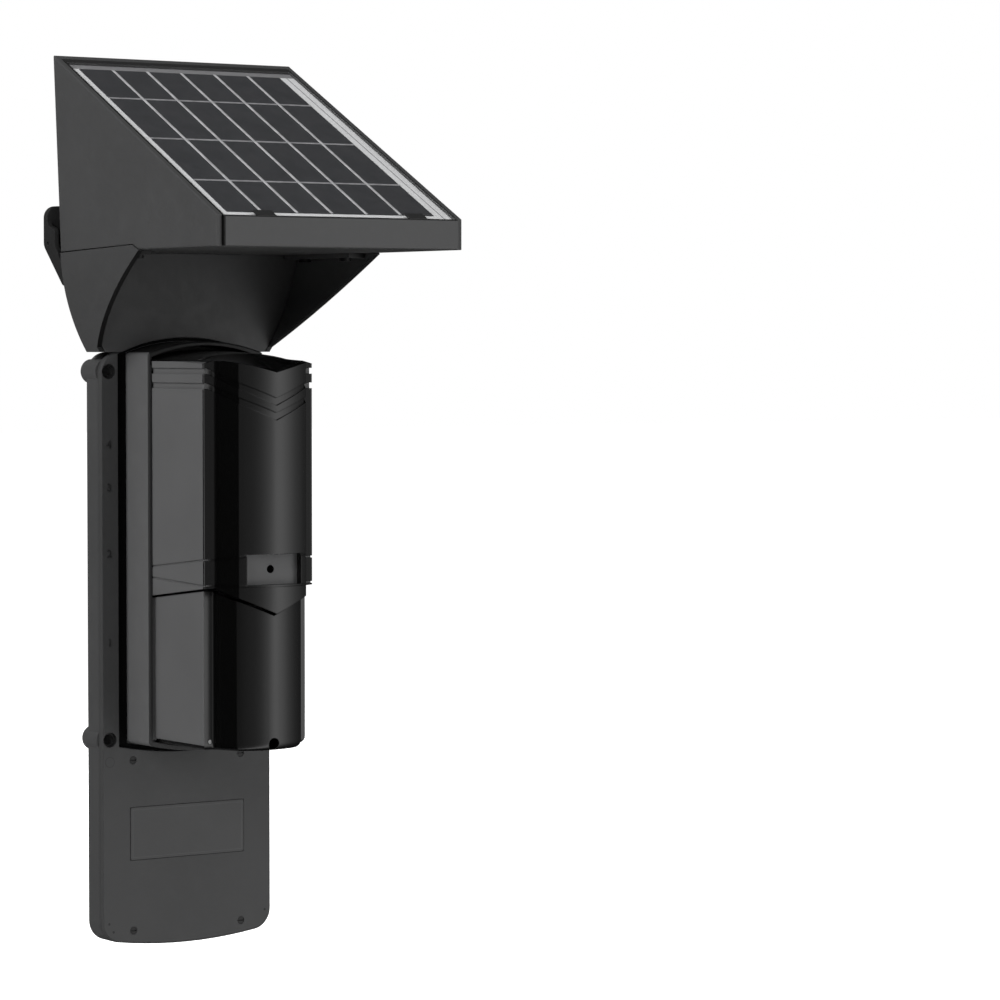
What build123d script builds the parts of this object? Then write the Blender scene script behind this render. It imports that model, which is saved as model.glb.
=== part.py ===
from build123d import *
import os
from math import atan2, cos, degrees, hypot, radians, sin

os.makedirs("parts", exist_ok=True)

# Solar infrared beam detector for a wall. The wall is the plane y = 0, the detector looks along -Y,
# and the origin is the middle of its four wall screws. "Out" is a distance from the wall along -Y.

# Back plate
plate_width = 84.0
plate_depth = 11.6
wall_gap = 3.4
plate_wall = 2.2
panel_thickness = 2.4
plate_low_side = -163.7
plate_low_middle = -167.6
plate_corner = 9.0
edge_round = 0.8

# Wall screws
mount_width = 75.8
mount_height = 156.4
mount_hole = 2.3
mount_head = 3.1
mount_head_depth = 1.6
boss_radius = 5.2

# Cable entry behind the body
cable_level = 62.0
cable_port = 8.0
cable_bore = 2.2
cable_hole = 5.0

# Neck and cheeks
neck_foot = 86.4
neck_lean = 7.8
cheek_wall = 2.2
cheek_proud = 0.4
cheek_reach = 62.0
cheek_toe = 2.1
cheek_bow = 1.3
cheek_lip = 1.9
cheek_ledge = 9.0
ledge_thickness = 2.0
neck_gap = 0.4

# Solar head
head_width = 117.4
head_floor = 128.4
head_front = 140.0
head_nose = 11.9
head_top = 211.1
head_back_low = 11.2
head_back_top = 5.4
head_wall = 2.5
head_floor_wall = 2.4
fascia_proud = 1.4
fascia_wall = 2.4
frame_depth = 4.4
frame_gap = 0.25
frame_side = 0.7
frame_rear = 6.4
frame_front = 1.4

# Solar panel, measured up its slope from the front edge of the head
sheet_thickness = 1.2
cell_thickness = 0.3
cover_thickness = 0.8
border_width = 3.5
border_side = 0.4
bus_width = 3.8
border_end = 1.1
cell_columns = 6
cell_gap = 0.9
row_pitch = 38.8
clip_width = 8.8
clip_spacing = 72.4
clip_reach = 4.8
clip_thickness = 0.6

# Detector body
body_half = 28.5
body_out = 31.9
body_wall = 1.75
base_corner = 2.0
base_edge = 0.6
body_floor = 2.4
body_top_side = 86.0
body_top_middle = 91.0
body_low_side = -79.8
body_low_middle = -83.2
well_depth = 2.5
well_floor = 2.0
well_side_gap = 5.0
well_end_gap = 1.7
cover_gap = 0.25
seal_gap = 0.3
seal_thickness = 0.8
cover_wall = 2.0
cover_overlap = 4.9

# Upper cover, seen from above and from the front
upper_half = 26.5
upper_front = 73.8
nose_root = 20.8
cover_corner = 1.0
nose_corner = 3.0
shoulder_half = 16.4
shoulder_out = 85.1
ridge_out = 88.6
roof_side = 83.6
roof_middle = 87.4
roof_fall = 2.0
ridge_top = 77.0

# Parting line between the two covers, and the belt with the cover screw
part_rear = -16.7
part_front = -11.3
part_shoulder = -15.1
part_ridge = -21.9
part_gap = 0.9
belt_middle = -3.5
pocket_half = 13.1
pocket_height = 12.7
pocket_out = 83.3
belt_top = belt_middle + pocket_height / 2
belt_low = belt_middle - pocket_height / 2
belt_edges = ((-4.0, 0.9, belt_top), (-8.1, belt_low, belt_low))
belt_line = 0.8
belt_line_depth = 0.5

# Chevron grooves under the roof
groove_levels = (79.8, 73.7)
groove_width = 2.4
groove_ridge_width = 3.2
groove_depth = 0.8
groove_shoulder_drop = 5.8
groove_ridge_drop = 12.2

# Lower cover
lower_inset = 1.7
lower_setback = 3.2
lower_bottom = -79.0
lower_round = 3.5
notch_radius = 2.4

# Screws
panel_screw_width = 53.4
panel_screw_high = -87.5
panel_screw_low = -160.5
small_head = 1.6
small_shank = 1.0
small_head_height = 1.4
head_slack = 0.1
screw_slack = 0.05
wide_head = 2.6
carrier_screw_bite = 4.5
cover_screw_length = 13.0
slot_share = 0.3
slot_depth_share = 0.45

# Optics
beam_levels = {"upper": 44.8, "lower": -32.0}
turn_out = 51.0
barrel_radius = 13.0
barrel_wall = 1.4
barrel_back_wall = 2.0
barrel_front = 15.0
barrel_rear = 10.0
lens_rim = 2.0
lens_bulge = 2.0
lens_face = 7.0
yoke_gap = 1.5
yoke_wall = 2.0
yoke_depth = 8.0
yoke_floor = 2.0
yoke_drop = 16.0
trunnion_radius = 1.95
turn_pin = 3.0
turn_pin_length = 4.0
pin_clearance = 0.05
turn_clearance = 0.3

# Carrier, boards and small parts
carrier_out = 23.0
carrier_wall = 2.5
carrier_half = 21.0
carrier_top = 64.0
carrier_bottom = -56.0
shelf_wall = 3.0
shelf_half = 13.0
post_radius = 4.0
board_out = 17.0
board_thickness = 1.6
board_half = 24.0
board_top = 72.0
board_bottom = -77.0

# Derived places
plate_half = plate_width / 2
face_out = wall_gap + plate_depth
head_half = head_width / 2
flare_half = head_half + cheek_proud
cheek_top = head_floor + cheek_lip
well_out = face_out - well_depth
cover_rear = body_out - cover_overlap
head_nose_top = head_floor + head_nose
slope_run = head_front - head_back_top
slope_rise = head_top - head_nose_top
slope_length = hypot(slope_run, slope_rise)
slope_angle = degrees(atan2(slope_rise, slope_run))
slope_plane = Plane(
    origin=(0, -head_front, head_nose_top),
    x_dir=(1, 0, 0),
    z_dir=(0, -sin(radians(slope_angle)), cos(radians(slope_angle))),
)
panel_depth = sheet_thickness + cell_thickness + cover_thickness
frame_half = head_half - head_wall - frame_gap


def front_plane(out):
    return Plane.XZ.offset(out)


def plate_face(plane, inset=0.0):
    """The back plate's outline: straight sides, a bowed foot and round corners."""
    half = plate_half - inset
    with BuildSketch(plane) as face:
        with BuildLine():
            foot = ThreePointArc(
                (-half, plate_low_side + inset), (0, plate_low_middle + inset), (half, plate_low_side + inset)
            )
            Polyline(foot @ 1, (half, neck_foot - inset), (-half, neck_foot - inset), foot @ 0)
        make_face()
        fillet(face.vertices().group_by(Axis.Z)[0], max(plate_corner - inset, 0.5))
    return face.sketch


def flare(inset):
    """The side of the neck: it leaves the plate's edge and swings out to the head."""
    rise = cheek_top - neck_foot
    spread = flare_half - plate_half
    return ThreePointArc(
        (plate_half - inset, neck_foot),
        (plate_half + 0.64 * spread - inset, neck_foot + 0.46 * rise),
        (flare_half - inset, cheek_top),
    )


def neck_face(plane, inset, top):
    """The area between the two flared sides, up to a level."""
    with BuildSketch(plane) as face:
        with BuildLine():
            side = flare(inset)
            Polyline(side @ 0, (0, neck_foot), (0, cheek_top), side @ 1)
        make_face()
        mirror(about=Plane.YZ)
        with Locations((0, (top + cheek_top + 20) / 2)):
            Rectangle(3 * head_width, cheek_top + 20 - top, mode=Mode.SUBTRACT)
    return face.sketch


def arched_face(plane, half, low_side, low_middle, top_side, top_middle):
    """A tall outline with a bowed top and a bowed foot."""
    with BuildSketch(plane) as face:
        with BuildLine():
            top = ThreePointArc((-half, top_side), (0, top_middle), (half, top_side))
            foot = ThreePointArc((-half, low_side), (0, low_middle), (half, low_side))
            Line(top @ 0, foot @ 0)
            Line(top @ 1, foot @ 1)
        make_face()
    return face.sketch


def neck_back_out(level):
    """How far the slanted back of the neck stands off the wall."""
    return wall_gap + (head_back_low - wall_gap) * (level - neck_foot) / (head_floor - neck_foot)


def side_prism(points, half):
    """A side view, given as (out, level) points, pushed both ways across the object."""
    with BuildPart() as prism:
        with BuildSketch(Plane.YZ):
            with BuildLine():
                Polyline(*[(-out, level) for out, level in points], close=True)
            make_face()
        extrude(amount=half, both=True)
    return prism.part


def front_prism(points, start, end):
    """A front view, given as (x, level) points, pushed from one distance out to another."""
    with BuildPart() as prism:
        with BuildSketch(front_plane(start)):
            with BuildLine():
                Polyline(*points, close=True)
            make_face()
        extrude(amount=end - start)
    return prism.part


def mirrored(points):
    """A front view drawn on the right, from the rim to the middle, carried on to the left."""
    return points + [(-x, level) for x, level in reversed(points) if x > 0]


def turned_screw(head_radius, shank_radius, head_height, length):
    """A screw on its own axis: the slotted head starts at z = 0 and the shank runs down."""
    with BuildPart() as screw:
        Cylinder(head_radius, head_height, align=(Align.CENTER, Align.CENTER, Align.MAX))
        with Locations((0, 0, -head_height)):
            Cylinder(shank_radius, length, align=(Align.CENTER, Align.CENTER, Align.MAX))
        with BuildSketch(Plane.XY):
            Rectangle(2 * head_radius, slot_share * head_radius)
        extrude(amount=-slot_depth_share * head_height, mode=Mode.SUBTRACT)
    return screw.part


# Rear bosses and screw posts of the back plate
mount_spots = [(x * mount_width / 2, z * mount_height / 2) for x in (-1, 1) for z in (-1, 1)]
panel_screw_spots = [
    (x * panel_screw_width / 2, z) for x in (-1, 1) for z in (panel_screw_low, panel_screw_high)
]
panel_back = face_out - panel_thickness
screw_post = 3.4
body_screw_spots = [(0.0, 74.0), (0.0, -69.0)]
body_screw_shank = 1.5
body_screw_head = 2.9
body_screw_head_height = 1.8

radio_width = 52.0
radio_height = 40.0
radio_level = -124.0
radio_rise = 1.2
radio_out = wall_gap + plate_wall + radio_rise
radio_post = 2.5

# Back housing: a tray with the wall bosses, and the slanted back of the neck above it
with BuildPart() as back_housing:
    extrude(plate_face(front_plane(wall_gap)), amount=plate_depth - panel_thickness)
    extrude(
        plate_face(front_plane(wall_gap + plate_wall), plate_wall),
        amount=plate_depth,
        mode=Mode.SUBTRACT,
    )
    extrude(neck_face(front_plane(0), cheek_wall + neck_gap, head_floor), amount=panel_back)
    add(
        side_prism(
            [
                (neck_back_out(neck_foot), neck_foot),
                (neck_back_out(head_floor), head_floor),
                (-20, head_floor),
                (-20, neck_foot),
            ],
            head_width,
        ),
        mode=Mode.SUBTRACT,
    )
    add(
        side_prism(
            [
                (neck_back_out(neck_foot) + plate_wall, neck_foot - 2 * plate_wall),
                (neck_back_out(neck_foot) + plate_wall, neck_foot),
                (neck_back_out(head_floor) + plate_wall, head_floor + 1),
                (face_out, head_floor + 1),
                (face_out, neck_foot - 2 * plate_wall),
            ],
            plate_half - plate_wall,
        ),
        mode=Mode.SUBTRACT,
    )
    with BuildSketch(front_plane(0)):
        with Locations(*mount_spots):
            Circle(boss_radius)
    extrude(amount=panel_back)
    with BuildSketch(front_plane(wall_gap)):
        with Locations(*panel_screw_spots):
            Circle(screw_post)
    extrude(amount=panel_back - wall_gap)
    with BuildSketch(front_plane(wall_gap)):
        with Locations((0, radio_level)):
            with GridLocations(radio_width - 3 * radio_post, radio_height - 3 * radio_post, 2, 2):
                Circle(radio_post)
    extrude(amount=radio_out - wall_gap)
    with BuildSketch(front_plane(0)):
        with Locations(*mount_spots):
            Circle(mount_hole)
        with Locations((0, cable_level)):
            Circle(cable_port)
    extrude(amount=face_out, mode=Mode.SUBTRACT)
    with BuildSketch(front_plane(panel_back)):
        with Locations(*panel_screw_spots):
            Circle(small_shank)
    extrude(amount=-6, mode=Mode.SUBTRACT)
back_housing.part.label = "back_housing"
export_step(back_housing.part, "parts/back_housing.step")

# Front panel: the face of the plate with the seat of the body sunk in it, and the front of the neck
well_face = dict(
    half=body_half + well_side_gap,
    low_side=body_low_side - well_end_gap,
    low_middle=body_low_middle - well_end_gap,
    top_side=body_top_side - well_end_gap / 4,
    top_middle=body_top_middle + well_end_gap,
)
label_width = 56.0
label_height = 22.4
label_level = -119.0
label_thickness = 0.5
label_sink = 0.3

with BuildPart() as front_panel:
    extrude(plate_face(front_plane(panel_back)), amount=panel_thickness)
    rim = front_panel.faces().sort_by(Axis.Y)[0].outer_wire().edges()
    chamfer(rim.filter_by(lambda edge: edge.center().Z < neck_foot - 1), edge_round)
    extrude(neck_face(front_plane(panel_back), cheek_wall + neck_gap, head_floor), amount=panel_thickness)
    pad_half = well_face["half"] + well_floor
    with BuildSketch(front_plane(well_out - well_floor)):
        add(
            arched_face(
                front_plane(well_out - well_floor),
                pad_half,
                well_face["low_side"] - well_floor,
                well_face["low_middle"] - well_floor,
                well_face["top_side"] + well_floor,
                well_face["top_middle"] + well_floor,
            )
        )
        with Locations(*mount_spots):
            Circle(boss_radius + 0.3, mode=Mode.SUBTRACT)
        with Locations(*panel_screw_spots):
            Circle(screw_post + 0.3, mode=Mode.SUBTRACT)
    extrude(amount=panel_back - well_out + well_floor)
    extrude(arched_face(front_plane(well_out), **well_face), amount=2 * well_depth, mode=Mode.SUBTRACT)
    with BuildSketch(front_plane(face_out - label_sink)):
        with Locations((0, label_level)):
            Rectangle(label_width + 0.4, label_height + 0.4)
    extrude(amount=2, mode=Mode.SUBTRACT)
    with BuildSketch(front_plane(0)):
        with Locations(*mount_spots):
            Circle(mount_hole)
        with Locations((0, cable_level)):
            Circle(cable_hole + 1)
        with Locations(*panel_screw_spots):
            Circle(small_shank + head_slack)
        with Locations(*body_screw_spots):
            Circle(body_screw_shank + head_slack)
    extrude(amount=face_out + 1, mode=Mode.SUBTRACT)
    with BuildSketch(front_plane(face_out)):
        with Locations(*mount_spots):
            Circle(mount_head)
        with Locations(*panel_screw_spots):
            Circle(small_head + head_slack)
    extrude(amount=-mount_head_depth, mode=Mode.SUBTRACT)
front_panel.part.label = "front_panel"
export_step(front_panel.part, "parts/front_panel.step")

with BuildPart() as label_plate:
    with BuildSketch(front_plane(face_out - label_sink)):
        with Locations((0, label_level)):
            RectangleRounded(label_width, label_height, 1.0)
    extrude(amount=label_thickness)
label_plate.part.label = "label_plate"
export_step(label_plate.part, "parts/label_plate.step")

# Four screws that hold the front panel to the posts of the back housing
panel_screw_seat = face_out - mount_head_depth
panel_screw_length = panel_screw_seat - panel_back + 5
with BuildPart() as panel_screws:
    with Locations(front_plane(panel_screw_seat + small_head_height)):
        with Locations(*panel_screw_spots):
            add(turned_screw(small_head, small_shank - screw_slack, small_head_height, panel_screw_length))
panel_screws.part.label = "panel_screws"
export_step(panel_screws.part, "parts/panel_screws.step")

# Cheeks: thin flared sides that carry the head, each with a ledge under the head's floor
ledge_hole = 1.7
ledge_screw_outs = (30.0, 62.0)
ledge_screw_x = head_half - head_wall - 5.5

with BuildPart() as right_cheek:
    with BuildSketch(Plane.XZ):
        with BuildLine():
            outer = flare(0)
            inner = flare(cheek_wall)
            Line(outer @ 0, inner @ 0)
            Line(outer @ 1, inner @ 1)
        make_face()
    extrude(amount=face_out + 2 * cheek_reach)
    with BuildSketch(Plane.YZ):
        with BuildLine():
            toe = (-face_out, neck_foot + cheek_toe)
            tip = (-(face_out + cheek_reach), head_floor - 0.4)
            bow = (-(face_out + cheek_reach / 2 - cheek_bow), (toe[1] + tip[1]) / 2)
            brow = ThreePointArc(toe, bow, tip)
            Polyline(
                brow @ 1,
                (-(face_out + cheek_reach - 5), cheek_top),
                (-neck_back_out(head_floor), head_floor - 0.3),
                (-wall_gap, neck_foot),
                (-face_out, neck_foot),
                brow @ 0,
            )
        make_face()
    extrude(amount=head_width, mode=Mode.INTERSECT)
    with BuildSketch(Plane.XY.offset(head_floor - ledge_thickness)):
        with Locations((flare_half - cheek_wall - cheek_ledge / 2 + 0.2, -(face_out + 28.0))):
            Rectangle(cheek_ledge, 52.0)
        with Locations(*[(ledge_screw_x, -out) for out in ledge_screw_outs]):
            Circle(ledge_hole, mode=Mode.SUBTRACT)
    extrude(amount=ledge_thickness)
right_cheek.part.label = "right_cheek"
export_step(right_cheek.part, "parts/right_cheek.step")

with BuildPart() as left_cheek:
    mirror(right_cheek.part, about=Plane.YZ)
left_cheek.part.label = "left_cheek"
export_step(left_cheek.part, "parts/left_cheek.step")

# Head: a wedge-shaped tub that is open at its slanted top and at its front
def slope_point(along, above):
    """A side-view point, as (out, level), on the slope of the panel."""
    angle = radians(slope_angle)
    return (
        head_front - along * cos(angle) + above * sin(angle),
        head_nose_top + along * sin(angle) + above * cos(angle),
    )


def slope_level(out, above):
    """The level of the panel's slope, or of a line parallel to it, at a distance from the wall."""
    angle = radians(slope_angle)
    return head_nose_top + (head_front - out) * sin(angle) / cos(angle) + above / cos(angle)


def back_point(level, inset=0.0):
    """A side-view point on the leaning back of the head."""
    lean = (head_back_low - head_back_top) / (head_top - head_floor)
    return (head_back_low - lean * (level - head_floor) + inset, level)


head_post_x = 40.0
head_post_outs = (24.0, 84.0, 128.0)
head_post_spots = [(side * head_post_x, out) for side in (-1, 1) for out in head_post_outs]
frame_screw_spots = [(side * head_post_x, head_post_outs[-1]) for side in (-1, 1)]
head_post_radius = 3.6
bracket_thickness = 3.0
bracket_boss_x = 35.0
bracket_boss_level = 139.0
bracket_boss_spots = [(side * bracket_boss_x, bracket_boss_level) for side in (-1, 1)]
bracket_boss_radius = 6.0
bracket_bolt = 2.0
frame_screw_length = 14.4
frame_screw_head = 2.4
frame_screw_head_height = 1.0
frame_screw_sink = 1.2
door_width = 62.0
door_depth = 46.0
door_out = 52.0
door_gap = 0.3
door_lip = 1.2
door_lap = 2.0
door_notch_x = 21.8
door_notch_width = 7.6
door_notch_depth = 5.2
door_notch_height = 1.4

with BuildPart() as head_posts:
    with BuildSketch(Plane.XY.offset(head_floor + 1)):
        with Locations(*[(x, -out) for x, out in head_post_spots]):
            Circle(head_post_radius)
    extrude(amount=head_top - head_floor)
    with BuildSketch(slope_plane.offset(-frame_depth)):
        Rectangle(3 * head_width, 3 * slope_length)
    extrude(amount=2 * head_top, mode=Mode.SUBTRACT)
    with BuildSketch(Plane.XY.offset(head_floor)):
        with Locations(*[(x, -out) for x, out in frame_screw_spots]):
            Circle(small_shank)
    extrude(amount=head_top - head_floor, mode=Mode.SUBTRACT)

setback = head_front - fascia_proud
with BuildPart() as head_shell:
    add(
        side_prism(
            [
                (head_back_low, head_floor),
                (head_back_top, head_top),
                slope_point(fascia_proud / cos(radians(slope_angle)), 0),
                (setback, head_floor),
            ],
            head_half,
        )
    )
    fillet(head_shell.edges().filter_by(GeomType.LINE).filter_by(Plane.YZ), edge_round)
    add(
        side_prism(
            [
                back_point(head_floor + head_floor_wall, head_floor_wall),
                back_point(head_top + 20, head_floor_wall),
                (head_front + 20, head_top + 20),
                (head_front + 20, head_floor + head_floor_wall),
            ],
            head_half - head_wall,
        ),
        mode=Mode.SUBTRACT,
    )
    # The fascia closes the front down to the floor's edge
    add(
        side_prism(
            [
                (head_front - fascia_wall - frame_gap, head_floor - 1),
                (head_front - fascia_wall - frame_gap, head_nose_top),
                (head_front + 20, head_nose_top),
                (head_front + 20, head_floor - 1),
            ],
            head_half - head_wall,
        ),
        mode=Mode.SUBTRACT,
    )
    # The cheeks lap the foot of each side wall
    for side in (-1, 1):
        with BuildSketch(Plane.YZ.offset(side * (head_half - cheek_wall))):
            with BuildLine():
                Polyline(
                    (-(head_back_low - 5), head_floor - 1),
                    (-(head_back_low - 5), head_floor),
                    (-(face_out + cheek_reach - 5), cheek_top + 0.3),
                    (-(face_out + cheek_reach + 0.7), head_floor),
                    (-(face_out + cheek_reach + 0.7), head_floor - 1),
                    close=True,
                )
            make_face()
        extrude(amount=side * 2 * cheek_wall, mode=Mode.SUBTRACT)
    add(head_posts.part)
    with BuildSketch(front_plane(bracket_thickness)):
        with Locations(*bracket_boss_spots):
            Circle(bracket_boss_radius)
    extrude(amount=back_point(bracket_boss_spots[0][1], 1.0)[0] - bracket_thickness)
    with BuildSketch(Plane.XY.offset(head_floor)):
        with Locations((0, -door_out)):
            Rectangle(door_width, door_depth)
        with Locations(*[(side * ledge_screw_x, -out) for side in (-1, 1) for out in ledge_screw_outs]):
            Circle(small_shank)
        with Locations(*[(x, -out) for x, out in frame_screw_spots]):
            Circle(small_shank + head_slack)
        with Locations((0, -(panel_back - 1.6))):
            SlotOverall(16, 2.4)
    extrude(amount=head_floor_wall, mode=Mode.SUBTRACT)
    with BuildSketch(Plane.XY.offset(head_floor)):
        with Locations(*[(x, -out) for x, out in frame_screw_spots]):
            Circle(frame_screw_head + head_slack)
    extrude(amount=frame_screw_sink, mode=Mode.SUBTRACT)
    with BuildSketch(front_plane(0)):
        with Locations(*bracket_boss_spots):
            Circle(bracket_bolt - 0.2)
    extrude(amount=back_point(bracket_boss_spots[0][1], 0)[0], mode=Mode.SUBTRACT)
head_shell.part.label = "head_shell"
export_step(head_shell.part, "parts/head_shell.step")

# Battery door in the floor of the head, with a finger notch at its front edge
with BuildPart() as battery_door:
    with BuildSketch(Plane.XY.offset(head_floor)):
        with Locations((0, -door_out)):
            Rectangle(door_width - 2 * door_gap, door_depth - 2 * door_gap)
    extrude(amount=head_floor_wall)
    with BuildSketch(Plane.XY.offset(head_floor + head_floor_wall)):
        with Locations((0, -door_out)):
            Rectangle(door_width + 2 * door_lap, door_depth - 4 * door_lap)
    extrude(amount=door_lip)
    with BuildSketch(Plane.XY.offset(head_floor)):
        with Locations((door_notch_x, -(door_out + door_depth / 2 - 2 * door_lap))):
            Rectangle(door_notch_width, door_notch_depth)
    extrude(amount=door_notch_height, mode=Mode.SUBTRACT)
battery_door.part.label = "battery_door"
export_step(battery_door.part, "parts/battery_door.step")

# Panel frame: the fascia and the slanted bezel in one moulding, let in between the side walls
frame_seat = back_point(head_top - 2 * frame_depth, head_floor_wall + frame_gap)[0]
frame_back = back_point(slope_level(frame_seat, 0), head_floor_wall + frame_gap)[0]
fascia_foot = head_floor + 0.3
with BuildPart() as panel_frame:
    add(
        side_prism(
            [
                slope_point(0, 0),
                (frame_back, slope_level(frame_back, 0)),
                (frame_seat, slope_level(frame_seat, -frame_depth)),
                slope_point(fascia_wall / cos(radians(slope_angle)) + 1.6, -frame_depth),
                (head_front - fascia_wall, fascia_foot + 4),
                (head_front - fascia_wall, fascia_foot),
                (head_front, fascia_foot),
            ],
            frame_half,
        )
    )
    with BuildSketch(slope_plane.offset(-panel_depth)):
        with Locations((0, (frame_front + slope_length - frame_rear) / 2)):
            Rectangle(2 * (frame_half - frame_side), slope_length - frame_rear - frame_front)
    extrude(amount=2 * panel_depth, mode=Mode.SUBTRACT)
    with BuildSketch(slope_plane.offset(-2 * frame_depth)):
        with Locations((0, slope_length / 2)):
            Rectangle(2 * frame_half - 40, slope_length - 34)
    extrude(amount=2 * frame_depth, mode=Mode.SUBTRACT)
    with BuildSketch(Plane.XY.offset(head_floor)):
        with Locations(*[(x, -out) for x, out in frame_screw_spots]):
            Circle(small_shank)
    extrude(amount=frame_screw_length, mode=Mode.SUBTRACT)
panel_frame.part.label = "panel_frame"
export_step(panel_frame.part, "parts/panel_frame.step")

# Solar panel: a white backing sheet, the cells that leave its lines bare, and the clear cover
sheet_half = frame_half - frame_side - 0.1
sheet_start = frame_front + 0.1
sheet_end = slope_length - frame_rear - 0.1
sheet_middle = (sheet_start + sheet_end) / 2
grid_half = sheet_half - border_side - border_width - bus_width / 2
grid_length = sheet_end - sheet_start - 2 * (border_end + border_width)


def panel_layer(height, half, length, thickness):
    with BuildPart() as layer:
        with BuildSketch(slope_plane.offset(height)):
            with Locations((0, sheet_middle)):
                Rectangle(2 * half, length)
        extrude(amount=thickness)
    return layer.part


with BuildPart() as solar_sheet:
    add(panel_layer(-panel_depth, sheet_half, sheet_end - sheet_start, sheet_thickness))
solar_sheet.part.label = "solar_sheet"
export_step(solar_sheet.part, "parts/solar_sheet.step")

# The rows in the middle are taller than the two at the ends, and the bus runs down a wider right margin
column_pitch = (2 * grid_half + cell_gap) / cell_columns
row_edges = [-grid_length / 2 - cell_gap / 2, -row_pitch, 0, row_pitch, grid_length / 2 + cell_gap / 2]
with BuildPart() as solar_cells:
    with BuildSketch(slope_plane.offset(sheet_thickness - panel_depth)):
        for low, high in zip(row_edges, row_edges[1:]):
            with Locations((-bus_width / 2, sheet_middle + (low + high) / 2)):
                with GridLocations(column_pitch, 1, cell_columns, 1):
                    Rectangle(column_pitch - cell_gap, high - low - cell_gap)
    extrude(amount=cell_thickness)
solar_cells.part.label = "solar_cells"
export_step(solar_cells.part, "parts/solar_cells.step")

with BuildPart() as solar_cover:
    add(panel_layer(-cover_thickness, sheet_half, sheet_end - sheet_start, cover_thickness))
solar_cover.part.label = "solar_cover"
export_step(solar_cover.part, "parts/solar_cover.step")

with BuildPart() as panel_clips:
    with BuildSketch(slope_plane):
        with Locations((0, clip_reach / 2 + 0.2)):
            with GridLocations(clip_spacing, 1, 2, 1):
                Rectangle(clip_width, clip_reach)
    extrude(amount=clip_thickness)
panel_clips.part.label = "panel_clips"
export_step(panel_clips.part, "parts/panel_clips.step")

# Screws up through the floor of the head into the frame, and through the ledges of the cheeks
with BuildPart() as ledge_screws:
    with Locations(Plane.XY.offset(head_floor - ledge_thickness - small_head_height).rotated((180, 0, 0))):
        with Locations(*[(side * ledge_screw_x, out) for side in (-1, 1) for out in ledge_screw_outs]):
            add(turned_screw(wide_head, small_shank - screw_slack, small_head_height, ledge_thickness + head_floor_wall))
ledge_screws.part.label = "ledge_screws"
export_step(ledge_screws.part, "parts/ledge_screws.step")

# Wall bracket behind the head: a plate with slanted lower sides and a flange along each side
bracket_half = 60.5
bracket_top = 148.0
bracket_knee = 131.2
bracket_foot = 114.5
bracket_foot_half = 51.5
bracket_flange = 9.4
bracket_flange_wall = 2.2
bracket_hook = 5.6
bracket_hole = 2.6
bracket_hole_spacing = 60.0
bracket_hole_level = 121.0
bracket_radii = [1.5, 6, 5, 5, 6, 1.5]
bracket_bolt_seat = 1.6
bracket_bolt_head_height = 1.2
bracket_bolt_length = 8.0
bracket_eye_out = 3.6
bracket_eye = 0.8

with BuildPart() as rear_bracket:
    shield = [
        (bracket_foot_half, bracket_foot),
        (bracket_half, bracket_knee),
        (bracket_half, bracket_top),
        (-bracket_half, bracket_top),
        (-bracket_half, bracket_knee),
        (-bracket_foot_half, bracket_foot),
    ]
    with BuildSketch(Plane.XZ) as shield_face:
        with BuildLine():
            FilletPolyline(*shield, radius=bracket_radii, close=True)
        make_face()
    extrude(amount=bracket_flange)
    with BuildSketch(front_plane(bracket_thickness)):
        with BuildLine():
            FilletPolyline(
                *[(x - bracket_flange_wall * (1 if x > 0 else -1), z) for x, z in shield],
                radius=bracket_radii,
                close=True,
            )
        make_face()
        with Locations((0, bracket_top)):
            Rectangle(2 * (bracket_half - bracket_flange_wall), 30)
        with Locations((0, bracket_foot)):
            Rectangle(2 * (bracket_foot_half - bracket_flange_wall), 8)
    extrude(amount=bracket_flange, mode=Mode.SUBTRACT)
    # The flanges grow from the plate's thickness at the top to a deep lug, and taper to the foot
    with BuildSketch(Plane.YZ):
        with BuildLine():
            top = Line((-bracket_thickness, bracket_top + 1), (-bracket_thickness, bracket_top - 6))
            swell = Spline(
                top @ 1,
                (-bracket_flange, bracket_knee + 5),
                tangents=[(0, -1), (0, -1)],
            )
            Polyline(
                swell @ 1,
                (-bracket_flange, bracket_knee - 2),
                (-bracket_hook, bracket_foot + 1),
                (-bracket_hook, bracket_foot - 1),
                (-2 * bracket_flange, bracket_foot - 1),
                (-2 * bracket_flange, bracket_top + 1),
                top @ 0,
            )
        make_face()
    extrude(amount=2 * bracket_half, both=True, mode=Mode.SUBTRACT)
    with BuildSketch(Plane.XZ):
        with GridLocations(bracket_hole_spacing, 1, 2, 1):
            with Locations((0, bracket_hole_level)):
                Circle(bracket_hole)
        with Locations(*bracket_boss_spots):
            Circle(bracket_bolt + head_slack)
    extrude(amount=bracket_thickness, mode=Mode.SUBTRACT)
    with BuildSketch(Plane.XZ):
        with Locations(*bracket_boss_spots):
            Circle(2 * bracket_bolt)
    extrude(amount=bracket_bolt_seat, mode=Mode.SUBTRACT)
    with BuildSketch(Plane.YZ):
        with Locations((-bracket_eye_out, bracket_knee + 1)):
            Circle(bracket_eye)
    extrude(amount=2 * bracket_half, both=True, mode=Mode.SUBTRACT)
rear_bracket.part.label = "rear_bracket"
export_step(rear_bracket.part, "parts/rear_bracket.step")

with BuildPart() as bracket_screws:
    with Locations(Plane.XZ.rotated((0, 0, 0))):
        with Locations(*[(x, z, 2 * head_slack) for x, z in bracket_boss_spots]):
            add(
                turned_screw(
                    1.9 * bracket_bolt, bracket_bolt - 0.25, bracket_bolt_head_height, bracket_bolt_length
                ).rotate(Axis.X, 180)
            )
bracket_screws.part.label = "bracket_screws"
export_step(bracket_screws.part, "parts/bracket_screws.step")

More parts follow.
